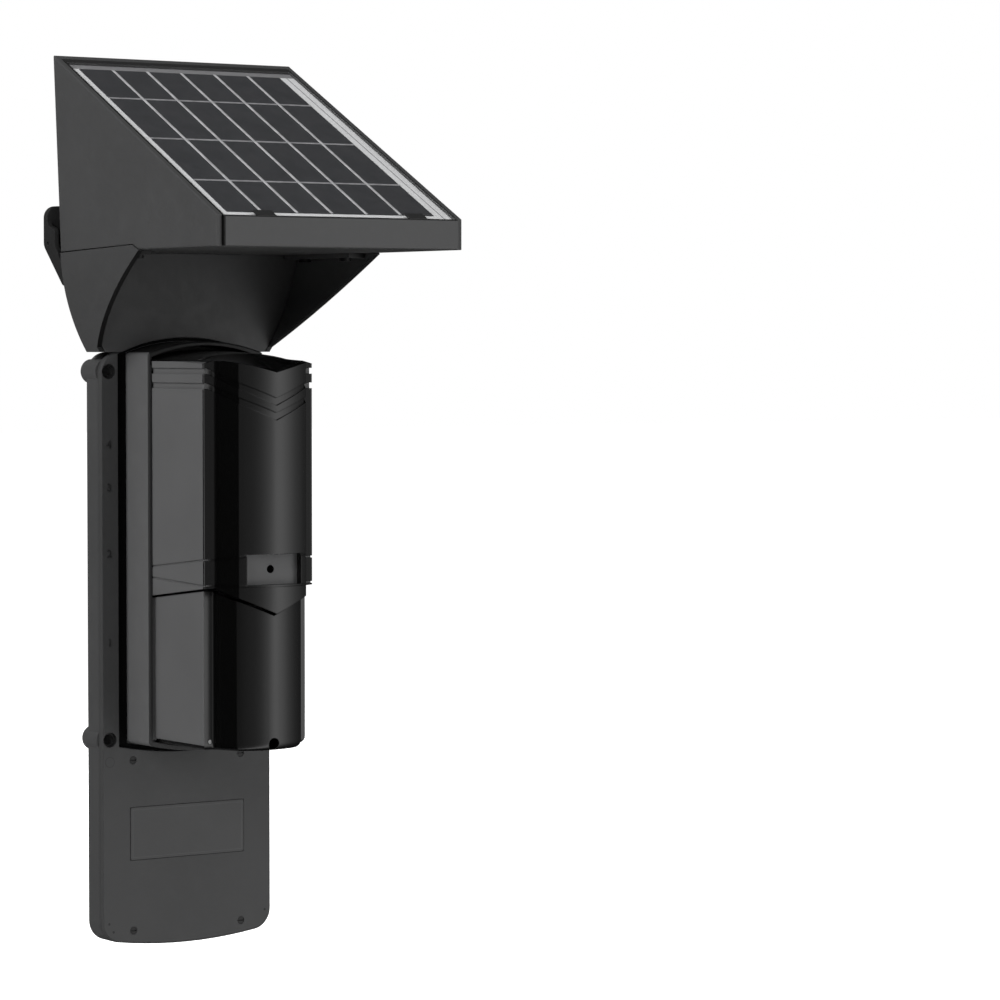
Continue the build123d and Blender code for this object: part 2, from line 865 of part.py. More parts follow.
# Body base: the drafted tray that sits in the well, with standoffs for the boards
body_outline = dict(
    half=body_half,
    low_side=body_low_side,
    low_middle=body_low_middle,
    top_side=body_top_side,
    top_middle=body_top_middle,
)
body_inside = dict(
    half=body_half - body_wall,
    low_side=body_low_side + body_wall,
    low_middle=body_low_middle + body_wall,
    top_side=body_top_side - body_wall,
    top_middle=body_top_middle - body_wall,
)
base_floor_out = well_out + body_floor
standoff_x = 16.0
standoff_levels = (-50.0, 56.0)
standoff_spots = [(side * standoff_x, level) for side in (-1, 1) for level in standoff_levels]
standoff_radius = 4.0
standoff_neck = 2.4

with BuildPart() as body_base:
    extrude(arched_face(front_plane(well_out), **body_outline), amount=body_out - well_out)
    fillet(body_base.edges().filter_by(Axis.Y), base_corner)
    chamfer(body_base.faces().sort_by(Axis.Y)[0].outer_wire().edges(), base_edge)
    extrude(arched_face(front_plane(base_floor_out), **body_inside), amount=body_out, mode=Mode.SUBTRACT)
    with BuildSketch(front_plane(base_floor_out)):
        with Locations(*standoff_spots):
            Circle(standoff_radius)
    extrude(amount=board_out - base_floor_out)
    with BuildSketch(front_plane(board_out)):
        with Locations(*standoff_spots):
            Circle(standoff_neck)
    extrude(amount=carrier_out - board_out)
    with BuildSketch(front_plane(carrier_out)):
        with Locations(*standoff_spots):
            Circle(small_shank)
    extrude(amount=board_out - carrier_out, mode=Mode.SUBTRACT)
    with BuildSketch(front_plane(well_out)):
        with Locations((0, cable_level)):
            Circle(cable_hole)
        with Locations(*body_screw_spots):
            Circle(body_screw_shank + head_slack)
    extrude(amount=body_floor, mode=Mode.SUBTRACT)
body_base.part.label = "body_base"
export_step(body_base.part, "parts/body_base.step")

# Seal round the foot of the body, laid in the well
with BuildPart() as body_seal:
    extrude(
        arched_face(
            front_plane(well_out),
            well_face["half"] - seal_gap,
            well_face["low_side"] + seal_gap,
            well_face["low_middle"] + seal_gap,
            well_face["top_side"] - seal_gap,
            well_face["top_middle"] - seal_gap,
        ),
        amount=seal_thickness,
    )
    extrude(
        arched_face(
            front_plane(well_out),
            body_half + seal_gap,
            body_low_side - seal_gap,
            body_low_middle - seal_gap,
            body_top_side + seal_gap,
            body_top_middle + seal_gap,
        ),
        amount=seal_thickness,
        mode=Mode.SUBTRACT,
    )
    with BuildSketch(front_plane(well_out)):
        with Locations(*mount_spots):
            Circle(boss_radius + seal_gap)
    extrude(amount=seal_thickness, mode=Mode.SUBTRACT)
body_seal.part.label = "body_seal"
export_step(body_seal.part, "parts/body_seal.step")

# Covers: a box with a V-shaped nose, drawn from above
def cover_plan(inset, half, front, shoulder, ridge, rear, level):
    """The plan of a cover; an inset plan also runs further back, so that the shell stays open there."""
    back = rear - 4 * inset
    root = nose_root - (upper_half - half) / 2
    with BuildSketch(Plane.XY.offset(level)) as plan:
        with BuildLine():
            nose = ThreePointArc(shoulder, (0, -ridge), (-shoulder[0], shoulder[1]))
            Polyline(nose @ 0, (root, -front), (half, -front), (half, -back))
            Polyline(nose @ 1, (-root, -front), (-half, -front), (-half, -back), (half, -back))
        make_face()
        corners = plan.vertices().filter_by(lambda corner: abs(corner.X) < root + cover_corner)
        nose_corners = corners.filter_by(lambda corner: abs(corner.X) < shoulder[0] + cover_corner)
        fillet(corners - nose_corners, cover_corner)
        fillet(nose_corners, nose_corner)
        if inset:
            offset(amount=-inset, kind=Kind.INTERSECTION)
    return plan.sketch


def roof_cutter(drop):
    """All that lies above the bowed roof, and above the nose's roof that falls to the ridge."""
    reach = ridge_out + 20
    fall = roof_fall / (upper_front - cover_rear)
    tilted = Plane(origin=(0, 0, 0), x_dir=(1, 0, 0), z_dir=(0, -1, -fall))
    with BuildPart() as cutter:
        with BuildSketch(tilted):
            with BuildLine():
                lift = fall * cover_rear - drop
                crown = ThreePointArc(
                    (-upper_half, roof_side + lift), (0, roof_middle + lift), (upper_half, roof_side + lift)
                )
                Polyline(
                    crown @ 1,
                    (2 * upper_half, roof_side + lift),
                    (2 * upper_half, 2 * roof_middle),
                    (-2 * upper_half, 2 * roof_middle),
                    (-2 * upper_half, roof_side + lift),
                    crown @ 0,
                )
            make_face()
        extrude(amount=reach)
    return cutter.part


def nose_cutter(drop):
    """The transition from the bowed roof to the V-shaped front edge over the ridge."""
    start = upper_front - 12
    end = ridge_out + 6
    wing = nose_root + 1.2
    eave = roof_side - roof_fall + 1.2 - drop
    with BuildPart() as cutter:
        with BuildSketch(front_plane(start)):
            with BuildLine():
                ThreePointArc((-wing, eave), (-wing / 2, eave + 2.6), (0, eave + 3.6))
                ThreePointArc((0, eave + 3.6), (wing / 2, eave + 2.6), (wing, eave))
                Polyline((wing, eave), (wing, eave + 20), (-wing, eave + 20), (-wing, eave))
            make_face()
        with BuildSketch(front_plane(end)):
            with BuildLine():
                Line((-wing, eave), (0, ridge_top - 0.7 - drop))
                Line((0, ridge_top - 0.7 - drop), (wing, eave))
                Polyline((wing, eave), (wing, eave + 20), (-wing, eave + 20), (-wing, eave))
            make_face()
        loft(ruled=True)
    return cutter.part


def upper_block(inset):
    with BuildPart() as block:
        extrude(
            cover_plan(
                inset, upper_half, upper_front, (shoulder_half, -shoulder_out), ridge_out, cover_rear, -40.0
            ),
            amount=40 + roof_middle + 2,
        )
        add(roof_cutter(inset), mode=Mode.SUBTRACT)
        add(nose_cutter(inset), mode=Mode.SUBTRACT)
    return block.part


def below_parting(gap, front):
    """All that lies under the parting line, lowered by a gap: slanted along the sides, V-shaped on the nose."""
    climb = (part_front - part_rear) / (upper_front - cover_rear)
    corner = part_rear + climb * (front - cover_rear) - gap
    side = side_prism(
        [
            (cover_rear - 20, part_rear - gap),
            (cover_rear, part_rear - gap),
            (front, corner),
            (front, -200),
            (cover_rear - 20, -200),
        ],
        2 * upper_half,
    )
    nose = front_prism(
        mirrored(
            [
                (2 * upper_half, -200),
                (2 * upper_half, corner),
                (nose_root, corner),
                (shoulder_half, part_shoulder - gap),
                (0, part_ridge - gap),
            ]
        ),
        front,
        ridge_out + 20,
    )
    return side + nose


def chevron(level):
    """A shallow band round the cover that dips to a V on the nose."""
    upper_line = [
        (2 * upper_half, level),
        (upper_half - 2, level),
        (nose_root, level - 0.25 * groove_shoulder_drop),
        (shoulder_half, level - groove_shoulder_drop),
        (0, level - groove_ridge_drop),
    ]
    lower_line = [
        (x, z - (groove_ridge_width if x == 0 else groove_width))
        for x, z in upper_line
    ]
    return front_prism(mirrored(upper_line) + list(reversed(mirrored(lower_line))), cover_rear, ridge_out + 5)


def belt_lines():
    """Two fine lines that open from the rear of each side to the corners of the pocket on the nose."""
    bands = []
    for rear, front, corner in belt_edges:
        bands.append(
            side_prism(
                [
                    (cover_rear, rear),
                    (upper_front, front),
                    (upper_front, front - belt_line),
                    (cover_rear, rear - belt_line),
                ],
                2 * upper_half,
            )
        )
        upper_line = [(2 * upper_half, front), (nose_root, front), (pocket_half, corner)]
        lower_line = [(x, z - belt_line) for x, z in upper_line]
        bands.append(
            front_prism(
                mirrored(upper_line) + list(reversed(mirrored(lower_line))), upper_front, ridge_out + 5
            )
        )
    return bands


cover_screw_shoulder = pocket_out - 6.0
cover_boss = 3.6
cover_boss_end = pocket_out - 12.0

with BuildPart() as upper_cover:
    add(upper_block(0))
    # Shallow bands and lines: the outer skin is cut down to an inner copy
    with BuildPart(mode=Mode.PRIVATE) as bands:
        for level in groove_levels:
            add(chevron(level))
        add(upper_block(groove_depth), mode=Mode.SUBTRACT)
    add(bands.part, mode=Mode.SUBTRACT)
    with BuildPart(mode=Mode.PRIVATE) as lines:
        for line in belt_lines():
            add(line)
        add(upper_block(belt_line_depth), mode=Mode.SUBTRACT)
    add(lines.part, mode=Mode.SUBTRACT)
    add(upper_block(cover_wall), mode=Mode.SUBTRACT)
    # The pocket's floor, its screw boss and the pocket itself
    with BuildSketch(front_plane(pocket_out - cover_wall)):
        with Locations((0, belt_middle)):
            Rectangle(2 * (pocket_half + cover_wall), pocket_height + 2 * cover_wall)
    extrude(amount=shoulder_out - pocket_out + cover_wall)
    with BuildSketch(front_plane(cover_boss_end)):
        with Locations((0, belt_middle)):
            Circle(cover_boss)
    extrude(amount=pocket_out - cover_boss_end)
    with BuildSketch(front_plane(pocket_out)):
        with Locations((0, belt_middle)):
            Rectangle(2 * pocket_half, pocket_height)
    extrude(amount=20, mode=Mode.SUBTRACT)
    with BuildSketch(front_plane(0)):
        with Locations((0, belt_middle)):
            Circle(small_shank + head_slack)
    extrude(amount=ridge_out, mode=Mode.SUBTRACT)
    with BuildSketch(front_plane(cover_screw_shoulder)):
        with Locations((0, belt_middle)):
            Circle(small_head + head_slack)
    extrude(amount=20, mode=Mode.SUBTRACT)
    add(below_parting(0, upper_front), mode=Mode.SUBTRACT)
upper_cover.part.label = "upper_cover"
export_step(upper_cover.part, "parts/upper_cover.step")

# Lower cover, slimmer by a step all round, with the light pipe's hole low on its left
lower_half = upper_half - lower_inset
lower_front = upper_front - lower_setback
light_radius = 0.9
light_x = lower_half - cover_wall - light_radius - 0.2
light_level = -75.3
light_proud = 0.3
light_chip = 2.8
light_chip_height = 1.5
lower_rim_out = body_out - 1.0


def lower_block(inset):
    with BuildPart() as block:
        extrude(
            cover_plan(
                inset,
                lower_half,
                lower_front,
                (shoulder_half - 0.7, -(shoulder_out - lower_setback)),
                ridge_out - 0.8 * lower_setback,
                cover_rear,
                lower_bottom + inset,
            ),
            amount=-lower_bottom + 20,
        )
        if not inset:
            foot = block.faces().sort_by(Axis.Z)[0].edges().sort_by(Axis.Y)[:-1]
            fillet(foot, lower_round)
    return block.part


with BuildPart() as lower_cover:
    add(lower_block(0))
    with BuildSketch(Plane.XY.offset(body_low_side + body_wall + cover_gap)):
        with Locations((0, -(cover_rear + lower_rim_out) / 2)):
            Rectangle(2 * upper_half, lower_rim_out - cover_rear)
    extrude(amount=-lower_bottom + 20)
    add(lower_block(cover_wall), mode=Mode.SUBTRACT)
    with BuildSketch(front_plane(lower_front + 4)):
        with Locations((0, lower_bottom + lower_round - 0.6)):
            Circle(notch_radius)
    extrude(amount=ridge_out - lower_front, mode=Mode.SUBTRACT)
    with BuildSketch(front_plane(lower_front - 2 * cover_wall)):
        with Locations((-light_x, light_level)):
            Circle(light_radius + head_slack)
    extrude(amount=3 * cover_wall, mode=Mode.SUBTRACT)
    with BuildPart(mode=Mode.PRIVATE) as above:
        with Locations((0, -ridge_out / 2, 0)):
            Box(4 * upper_half, 3 * ridge_out, 300)
        add(below_parting(part_gap, lower_front), mode=Mode.SUBTRACT)
    add(above.part, mode=Mode.SUBTRACT)
lower_cover.part.label = "lower_cover"
export_step(lower_cover.part, "parts/lower_cover.step")

# Cover screw, sunk in the pocket
with BuildPart() as cover_screw:
    with Locations(front_plane(cover_screw_shoulder + small_head_height)):
        with Locations((0, belt_middle)):
            add(turned_screw(small_head, small_shank - screw_slack, small_head_height, cover_screw_length))
cover_screw.part.label = "cover_screw"
export_step(cover_screw.part, "parts/cover_screw.step")

# Main board over the base's standoffs
board_level = (board_top + board_bottom) / 2
with BuildPart() as main_board:
    with BuildSketch(front_plane(board_out)):
        with Locations((0, board_level)):
            Rectangle(2 * board_half, board_top - board_bottom)
        with Locations(*standoff_spots):
            Circle(standoff_neck + 0.2, mode=Mode.SUBTRACT)
        with Locations((0, cable_level)):
            Circle(cable_hole, mode=Mode.SUBTRACT)
        with Locations(*body_screw_spots):
            Circle(body_screw_head + 5 * head_slack, mode=Mode.SUBTRACT)
    extrude(amount=board_thickness)
main_board.part.label = "main_board"
export_step(main_board.part, "parts/main_board.step")

# Optics carrier: a plate over the board with a shelf under each optical unit and the cover's screw post
post_out = cover_boss_end - 0.3
with BuildPart() as optics_carrier:
    with BuildSketch(front_plane(carrier_out)):
        with Locations((0, (carrier_top + carrier_bottom) / 2)):
            Rectangle(2 * carrier_half, carrier_top - carrier_bottom)
        with Locations(*standoff_spots):
            Circle(small_shank + head_slack, mode=Mode.SUBTRACT)
    extrude(amount=carrier_wall)
    for level in beam_levels.values():
        with BuildSketch(Plane.XY.offset(level - yoke_drop - yoke_floor - turn_clearance - shelf_wall)):
            with Locations((0, -(carrier_out + turn_out) / 2)):
                Rectangle(2 * shelf_half, turn_out - carrier_out)
            with Locations((0, -turn_out)):
                Circle(shelf_half)
                Circle(turn_pin + pin_clearance, mode=Mode.SUBTRACT)
        extrude(amount=shelf_wall)
    with BuildSketch(front_plane(carrier_out)):
        with Locations((0, belt_middle)):
            Circle(post_radius)
    extrude(amount=post_out - carrier_out)
    with BuildSketch(front_plane(post_out)):
        with Locations((0, belt_middle)):
            Circle(small_shank)
    extrude(amount=-12, mode=Mode.SUBTRACT)
optics_carrier.part.label = "optics_carrier"
export_step(optics_carrier.part, "parts/optics_carrier.step")

with BuildPart() as carrier_screws:
    with Locations(front_plane(carrier_out + carrier_wall + small_head_height)):
        with Locations(*standoff_spots):
            add(turned_screw(wide_head, small_shank - screw_slack, small_head_height, carrier_wall + carrier_screw_bite))
carrier_screws.part.label = "carrier_screws"
export_step(carrier_screws.part, "parts/carrier_screws.step")

with BuildPart() as body_screws:
    with Locations(front_plane(base_floor_out + body_screw_head_height)):
        with Locations(*body_screw_spots):
            add(
                turned_screw(
                    body_screw_head,
                    body_screw_shank,
                    body_screw_head_height,
                    body_floor + well_floor - head_slack,
                )
            )
body_screws.part.label = "body_screws"
export_step(body_screws.part, "parts/body_screws.step")

# Optical units: a yoke that turns on the shelf, a barrel that tilts in it, its lens and its board
arm_inner = barrel_radius + yoke_gap
arm_outer = arm_inner + yoke_wall
lens_radius = barrel_radius - barrel_wall - 0.2
lens_seat = turn_out + barrel_front - 4.4
unit_board_out = turn_out - barrel_rear + barrel_back_wall
diode_radius = 2.6
diode_height = 3.6
diode_bevel = 1.2

for name, level in beam_levels.items():
    with BuildPart() as yoke:
        with BuildSketch(Plane.XY.offset(level - yoke_drop - yoke_floor)):
            with Locations((0, -turn_out)):
                Circle(shelf_half)
                Rectangle(2 * arm_outer, yoke_depth)
        extrude(amount=yoke_floor)
        for side in (-1, 1):
            with BuildSketch(Plane.YZ.offset(side * arm_inner)):
                with Locations((-turn_out, level - yoke_drop / 2)):
                    Rectangle(yoke_depth, yoke_drop)
                with Locations((-turn_out, level)):
                    Circle(yoke_depth / 2)
                    Circle(trunnion_radius + pin_clearance, mode=Mode.SUBTRACT)
            extrude(amount=side * yoke_wall)
        with BuildSketch(Plane.XY.offset(level - yoke_drop - yoke_floor)):
            with Locations((0, -turn_out)):
                Circle(turn_pin)
        extrude(amount=-turn_pin_length)
    yoke.part.label = f"{name}_yoke"
    export_step(yoke.part, f"parts/{name}_yoke.step")

    with BuildPart() as barrel:
        with BuildSketch(front_plane(turn_out - barrel_rear)):
            with Locations((0, level)):
                Circle(barrel_radius)
        extrude(amount=barrel_front + barrel_rear)
        with BuildSketch(front_plane(turn_out - barrel_rear + barrel_back_wall)):
            with Locations((0, level)):
                Circle(barrel_radius - barrel_wall - 1.2)
        extrude(amount=barrel_front + barrel_rear, mode=Mode.SUBTRACT)
        with BuildSketch(front_plane(lens_seat)):
            with Locations((0, level)):
                Circle(barrel_radius - barrel_wall)
        extrude(amount=barrel_front, mode=Mode.SUBTRACT)
        with BuildSketch(Plane.YZ.offset(barrel_radius - 0.4)):
            with Locations((-turn_out, level)):
                Circle(trunnion_radius)
        extrude(amount=arm_outer - barrel_radius)
        mirror(about=Plane.YZ)
    barrel.part.label = f"{name}_barrel"
    export_step(barrel.part, f"parts/{name}_barrel.step")

    with BuildPart() as lens:
        with BuildSketch(Plane.YZ):
            with BuildLine():
                Polyline(
                    (-lens_seat, level),
                    (-lens_seat, level + lens_radius),
                    (-(lens_seat + lens_rim), level + lens_radius),
                    (-(lens_seat + lens_rim + lens_bulge), level + lens_face),
                    (-(lens_seat + lens_rim + lens_bulge), level),
                    close=True,
                )
            make_face()
        revolve(axis=Axis((0, 0, level), (0, 1, 0)))
    lens.part.label = f"{name}_lens"
    export_step(lens.part, f"parts/{name}_lens.step")

    with BuildPart() as unit_board:
        with BuildSketch(front_plane(unit_board_out)):
            with Locations((0, level)):
                Circle(barrel_radius - barrel_wall - 1.5)
        extrude(amount=board_thickness)
        with BuildSketch(front_plane(unit_board_out + board_thickness)):
            with Locations((0, level)):
                Circle(diode_radius)
        extrude(amount=diode_height)
        chamfer(unit_board.faces().sort_by(Axis.Y)[0].edges(), diode_bevel)
    unit_board.part.label = f"{name}_diode_board"
    export_step(unit_board.part, f"parts/{name}_diode_board.step")

# Terminals, tamper switch and status light on the main board
board_face = board_out + board_thickness
terminal_ways = 5
terminal_pitch = 5.0
terminal_depth = 10.0
terminal_height = 11.0
terminal_x = -4.0
terminal_level = -62.6
terminal_row = terminal_level + 1.5
terminal_well = 2.0
terminal_well_depth = 3.0
terminal_head = 1.8
terminal_head_height = 1.6
terminal_slot = 0.6
terminal_mouth = 3.4
terminal_mouth_depth = 4.0
tamper_x = 17.0
tamper_out = board_face + 4.0
tamper_top = -66.0
tamper_bottom = -73.6
tamper_width = 6.4
tamper_depth = 8.0
tamper_lid = 1.0
plunger_radius = 1.4
plunger_press = 1.0
plunger_bevel = 0.5
plunger_gap = 0.3
plunger_foot = lower_bottom + cover_wall + plunger_gap

with BuildPart() as terminal_block:
    with BuildSketch(front_plane(board_face)):
        with Locations((terminal_x, terminal_level)):
            Rectangle(terminal_ways * terminal_pitch, terminal_height)
    extrude(amount=terminal_depth)
    with BuildSketch(front_plane(board_face + terminal_depth)):
        with Locations((terminal_x, terminal_row)):
            with GridLocations(terminal_pitch, 1, terminal_ways, 1):
                Circle(terminal_well)
    extrude(amount=-terminal_well_depth, mode=Mode.SUBTRACT)
    with BuildSketch(Plane.XY.offset(terminal_level - terminal_height / 2)):
        with Locations((terminal_x, -(board_face + terminal_mouth))):
            with GridLocations(terminal_pitch, 1, terminal_ways, 1):
                Rectangle(terminal_mouth, terminal_mouth)
    extrude(amount=terminal_mouth_depth, mode=Mode.SUBTRACT)
terminal_block.part.label = "terminal_block"
export_step(terminal_block.part, "parts/terminal_block.step")

with BuildPart() as terminal_screws:
    with BuildSketch(front_plane(board_face + terminal_depth - terminal_well_depth)):
        with Locations((terminal_x, terminal_row)):
            with GridLocations(terminal_pitch, 1, terminal_ways, 1):
                Circle(terminal_head)
    extrude(amount=terminal_head_height)
    with BuildSketch(front_plane(board_face + terminal_depth - terminal_well_depth + terminal_head_height)):
        with Locations((terminal_x, terminal_row)):
            with GridLocations(terminal_pitch, 1, terminal_ways, 1):
                Rectangle(2 * terminal_head, terminal_slot)
    extrude(amount=-terminal_head_height / 2, mode=Mode.SUBTRACT)
terminal_screws.part.label = "terminal_screws"
export_step(terminal_screws.part, "parts/terminal_screws.step")

with BuildPart() as tamper_switch:
    with BuildSketch(Plane.XY.offset(tamper_bottom)):
        with Locations((tamper_x, -tamper_out)):
            Rectangle(tamper_width, tamper_depth)
            Circle(plunger_radius + head_slack, mode=Mode.SUBTRACT)
    extrude(amount=tamper_top - tamper_bottom - tamper_lid)
    with BuildSketch(Plane.XY.offset(tamper_top - tamper_lid)):
        with Locations((tamper_x, -tamper_out)):
            Rectangle(tamper_width, tamper_depth)
    extrude(amount=tamper_lid)
tamper_switch.part.label = "tamper_switch"
export_step(tamper_switch.part, "parts/tamper_switch.step")

with BuildPart() as tamper_plunger:
    with BuildSketch(Plane.XY.offset(plunger_foot)):
        with Locations((tamper_x, -tamper_out)):
            Circle(plunger_radius)
    extrude(amount=tamper_top - tamper_lid - plunger_press - plunger_gap - plunger_foot)
    chamfer(tamper_plunger.faces().sort_by(Axis.Z)[0].edges(), plunger_bevel)
tamper_plunger.part.label = "tamper_plunger"
export_step(tamper_plunger.part, "parts/tamper_plunger.step")

with BuildPart() as light_pipe:
    with BuildSketch(front_plane(board_face + 1.2 * light_chip_height)):
        with Locations((-light_x, light_level)):
            Circle(light_radius)
    extrude(amount=lower_front + light_proud - board_face - 1.2 * light_chip_height)
    chamfer(light_pipe.faces().sort_by(Axis.Y)[0].edges(), light_radius / 2)
light_pipe.part.label = "light_pipe"
export_step(light_pipe.part, "parts/light_pipe.step")

with BuildPart() as status_light:
    with BuildSketch(front_plane(board_face)):
        with Locations((-light_x, light_level)):
            Rectangle(light_chip, light_chip)
    extrude(amount=light_chip_height)
status_light.part.label = "status_light"
export_step(status_light.part, "parts/status_light.step")

# Radio board and its whip in the foot of the back plate
antenna_radius = 1.0
antenna_length = 62.0
antenna_x = -31.4
antenna_bend = 2.5
antenna_foot = 5.0
radio_can = 16.0
radio_chip = 9.0
radio_chip_height = 1.2

with BuildPart() as radio_board:
    with BuildSketch(front_plane(radio_out)):
        with Locations((0, radio_level)):
            Rectangle(radio_width, radio_height)
    extrude(amount=board_thickness)
    with BuildSketch(front_plane(radio_out + board_thickness)):
        with Locations((6, radio_level + 4)):
            Rectangle(radio_can, 0.9 * radio_can)
        with Locations((-14, radio_level - 8)):
            Rectangle(radio_chip, radio_chip)
    extrude(amount=radio_chip_height)
radio_board.part.label = "radio_board"
export_step(radio_board.part, "parts/radio_board.step")

antenna_out = radio_out + board_thickness + antenna_radius
antenna_low = radio_level - radio_height / 2 + 2 * antenna_radius
with BuildPart() as antenna:
    with BuildLine() as whip:
        FilletPolyline(
            (antenna_foot - radio_width / 2, -antenna_out, antenna_low),
            (antenna_x, -antenna_out, antenna_low),
            (antenna_x, -antenna_out, antenna_low + antenna_length),
            radius=antenna_bend,
        )
    with BuildSketch(Plane(origin=whip.line @ 0, z_dir=whip.line % 0)):
        Circle(antenna_radius)
    sweep()
antenna.part.label = "antenna"
export_step(antenna.part, "parts/antenna.step")

# Battery, its holder and the charge board on the floor of the head
cell_radius = 9.2
cell_length = 65.0
cell_spacing = 20.6
cell_button = 3.0
cell_button_height = 1.2
contact_width = 9.0
contact_height = 10.0
contact_thickness = 2.6
contact_gap = 0.2
holder_wall = 2.0
holder_height = 12.0
inner_floor = head_floor + head_floor_wall + door_lip
holder_width = cell_length + 2 * (holder_wall + contact_thickness + 2 * contact_gap)
holder_depth = cell_spacing + 2 * cell_radius + 2 * holder_wall + 0.8
cell_level = inner_floor + holder_wall + cell_radius + 0.2

with BuildPart() as battery_holder:
    with BuildSketch(Plane.XY.offset(inner_floor)):
        with Locations((0, -door_out)):
            Rectangle(holder_width, holder_depth)
    extrude(amount=holder_height)
    with BuildSketch(Plane.XY.offset(inner_floor + holder_wall)):
        with Locations((0, -door_out)):
            Rectangle(holder_width - 2 * holder_wall, holder_depth - 2 * holder_wall)
    extrude(amount=holder_height, mode=Mode.SUBTRACT)
    with BuildSketch(Plane.XY.offset(inner_floor)):
        with Locations((0, -door_out)):
            Rectangle(cell_length - 8, 1.6)
    extrude(amount=holder_height - 3)
battery_holder.part.label = "battery_holder"
export_step(battery_holder.part, "parts/battery_holder.step")

with BuildPart() as battery_cells:
    with BuildSketch(Plane.YZ.offset(-cell_length / 2)):
        with Locations((-door_out, cell_level)):
            with GridLocations(cell_spacing, 1, 2, 1):
                Circle(cell_radius)
    extrude(amount=cell_length - cell_button_height)
    with BuildSketch(Plane.YZ.offset(cell_length / 2 - cell_button_height)):
        with Locations((-door_out, cell_level)):
            with GridLocations(cell_spacing, 1, 2, 1):
                Circle(cell_button)
    extrude(amount=cell_button_height)
battery_cells.part.label = "battery_cells"
export_step(battery_cells.part, "parts/battery_cells.step")

with BuildPart() as battery_contacts:
    for side in (-1, 1):
        with BuildSketch(Plane.YZ.offset(side * (cell_length / 2 + contact_gap))):
            with Locations((-door_out, cell_level - 2)):
                with GridLocations(cell_spacing, 1, 2, 1):
                    Rectangle(contact_width, contact_height)
        extrude(amount=side * contact_thickness)
battery_contacts.part.label = "battery_contacts"
export_step(battery_contacts.part, "parts/battery_contacts.step")

charge_width = 58.0
charge_depth = 26.0
charge_out = 104.0
charge_rise = 4.0
charge_edge = 8.0
charge_post = 2.0
charge_chip = 12.0
charge_coil = 4.0
charge_part_height = 4.5
with BuildPart() as charge_board:
    with BuildSketch(Plane.XY.offset(head_floor + head_floor_wall + charge_rise)):
        with Locations((0, -charge_out)):
            Rectangle(charge_width, charge_depth)
    extrude(amount=board_thickness)
    with BuildSketch(Plane.XY.offset(head_floor + head_floor_wall)):
        with Locations((0, -charge_out)):
            with GridLocations(charge_width - charge_edge, charge_depth - charge_edge, 2, 2):
                Circle(charge_post)
    extrude(amount=charge_rise)
    with BuildSketch(Plane.XY.offset(head_floor + head_floor_wall + charge_rise + board_thickness)):
        with Locations((-charge_chip, -charge_out)):
            Rectangle(charge_chip, charge_chip)
        with Locations((charge_chip, -charge_out)):
            Circle(charge_coil)
    extrude(amount=charge_part_height)
charge_board.part.label = "charge_board"
export_step(charge_board.part, "parts/charge_board.step")

# Screws up through the floor and its posts into the panel frame, and the seal round the cable hole
with BuildPart() as frame_screws:
    with Locations(*[(x, -out, head_floor + frame_screw_sink) for x, out in frame_screw_spots]):
        Cylinder(frame_screw_head, frame_screw_head_height, align=(Align.CENTER, Align.CENTER, Align.MAX))
        Cylinder(
            small_shank - screw_slack,
            frame_screw_length - frame_screw_sink - head_slack,
            align=(Align.CENTER, Align.CENTER, Align.MIN),
        )
frame_screws.part.label = "frame_screws"
export_step(frame_screws.part, "parts/frame_screws.step")

grommet_lip = 1.4
grommet_lap = 1.8
with BuildPart() as cable_grommet:
    with BuildSketch(front_plane(wall_gap - grommet_lip)):
        with Locations((0, cable_level)):
            Circle(cable_port + grommet_lap)
    extrude(amount=grommet_lip)
    with BuildSketch(front_plane(wall_gap)):
        with Locations((0, cable_level)):
            Circle(cable_port - head_slack)
    extrude(amount=plate_wall)
    with BuildSketch(front_plane(wall_gap - grommet_lip)):
        with Locations((0, cable_level)):
            Circle(cable_bore)
    extrude(amount=grommet_lip + plate_wall, mode=Mode.SUBTRACT)
cable_grommet.part.label = "cable_grommet"
export_step(cable_grommet.part, "parts/cable_grommet.step")
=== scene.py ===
import math

import bmesh
import bpy
from mathutils import Matrix, Vector


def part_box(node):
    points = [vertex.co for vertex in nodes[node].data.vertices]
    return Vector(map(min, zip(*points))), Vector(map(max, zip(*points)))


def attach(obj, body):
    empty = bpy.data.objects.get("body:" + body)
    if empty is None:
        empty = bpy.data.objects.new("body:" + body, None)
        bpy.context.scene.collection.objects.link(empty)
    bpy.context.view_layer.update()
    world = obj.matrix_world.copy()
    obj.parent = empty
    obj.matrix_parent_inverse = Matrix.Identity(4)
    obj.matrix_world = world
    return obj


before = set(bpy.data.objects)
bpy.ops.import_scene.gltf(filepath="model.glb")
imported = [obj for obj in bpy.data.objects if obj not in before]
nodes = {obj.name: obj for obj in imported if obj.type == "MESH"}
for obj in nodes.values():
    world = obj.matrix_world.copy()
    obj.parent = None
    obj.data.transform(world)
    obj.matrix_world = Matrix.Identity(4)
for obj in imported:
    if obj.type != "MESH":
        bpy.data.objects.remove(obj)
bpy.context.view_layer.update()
mm = 0.001
print("frame loaded:", len(nodes), "nodes")


# Camera at the photograph's angle, far off with a long lens: metres, degrees and millimetres of lens
viewpoint = {
    "place": (-0.8637, -1.4820, 0.0908),
    "turn": 35.02,
    "tilt": 2.29,
    "lens": 142.5,
    "sensor": 36,
    "clip": (0.05, 50),
}


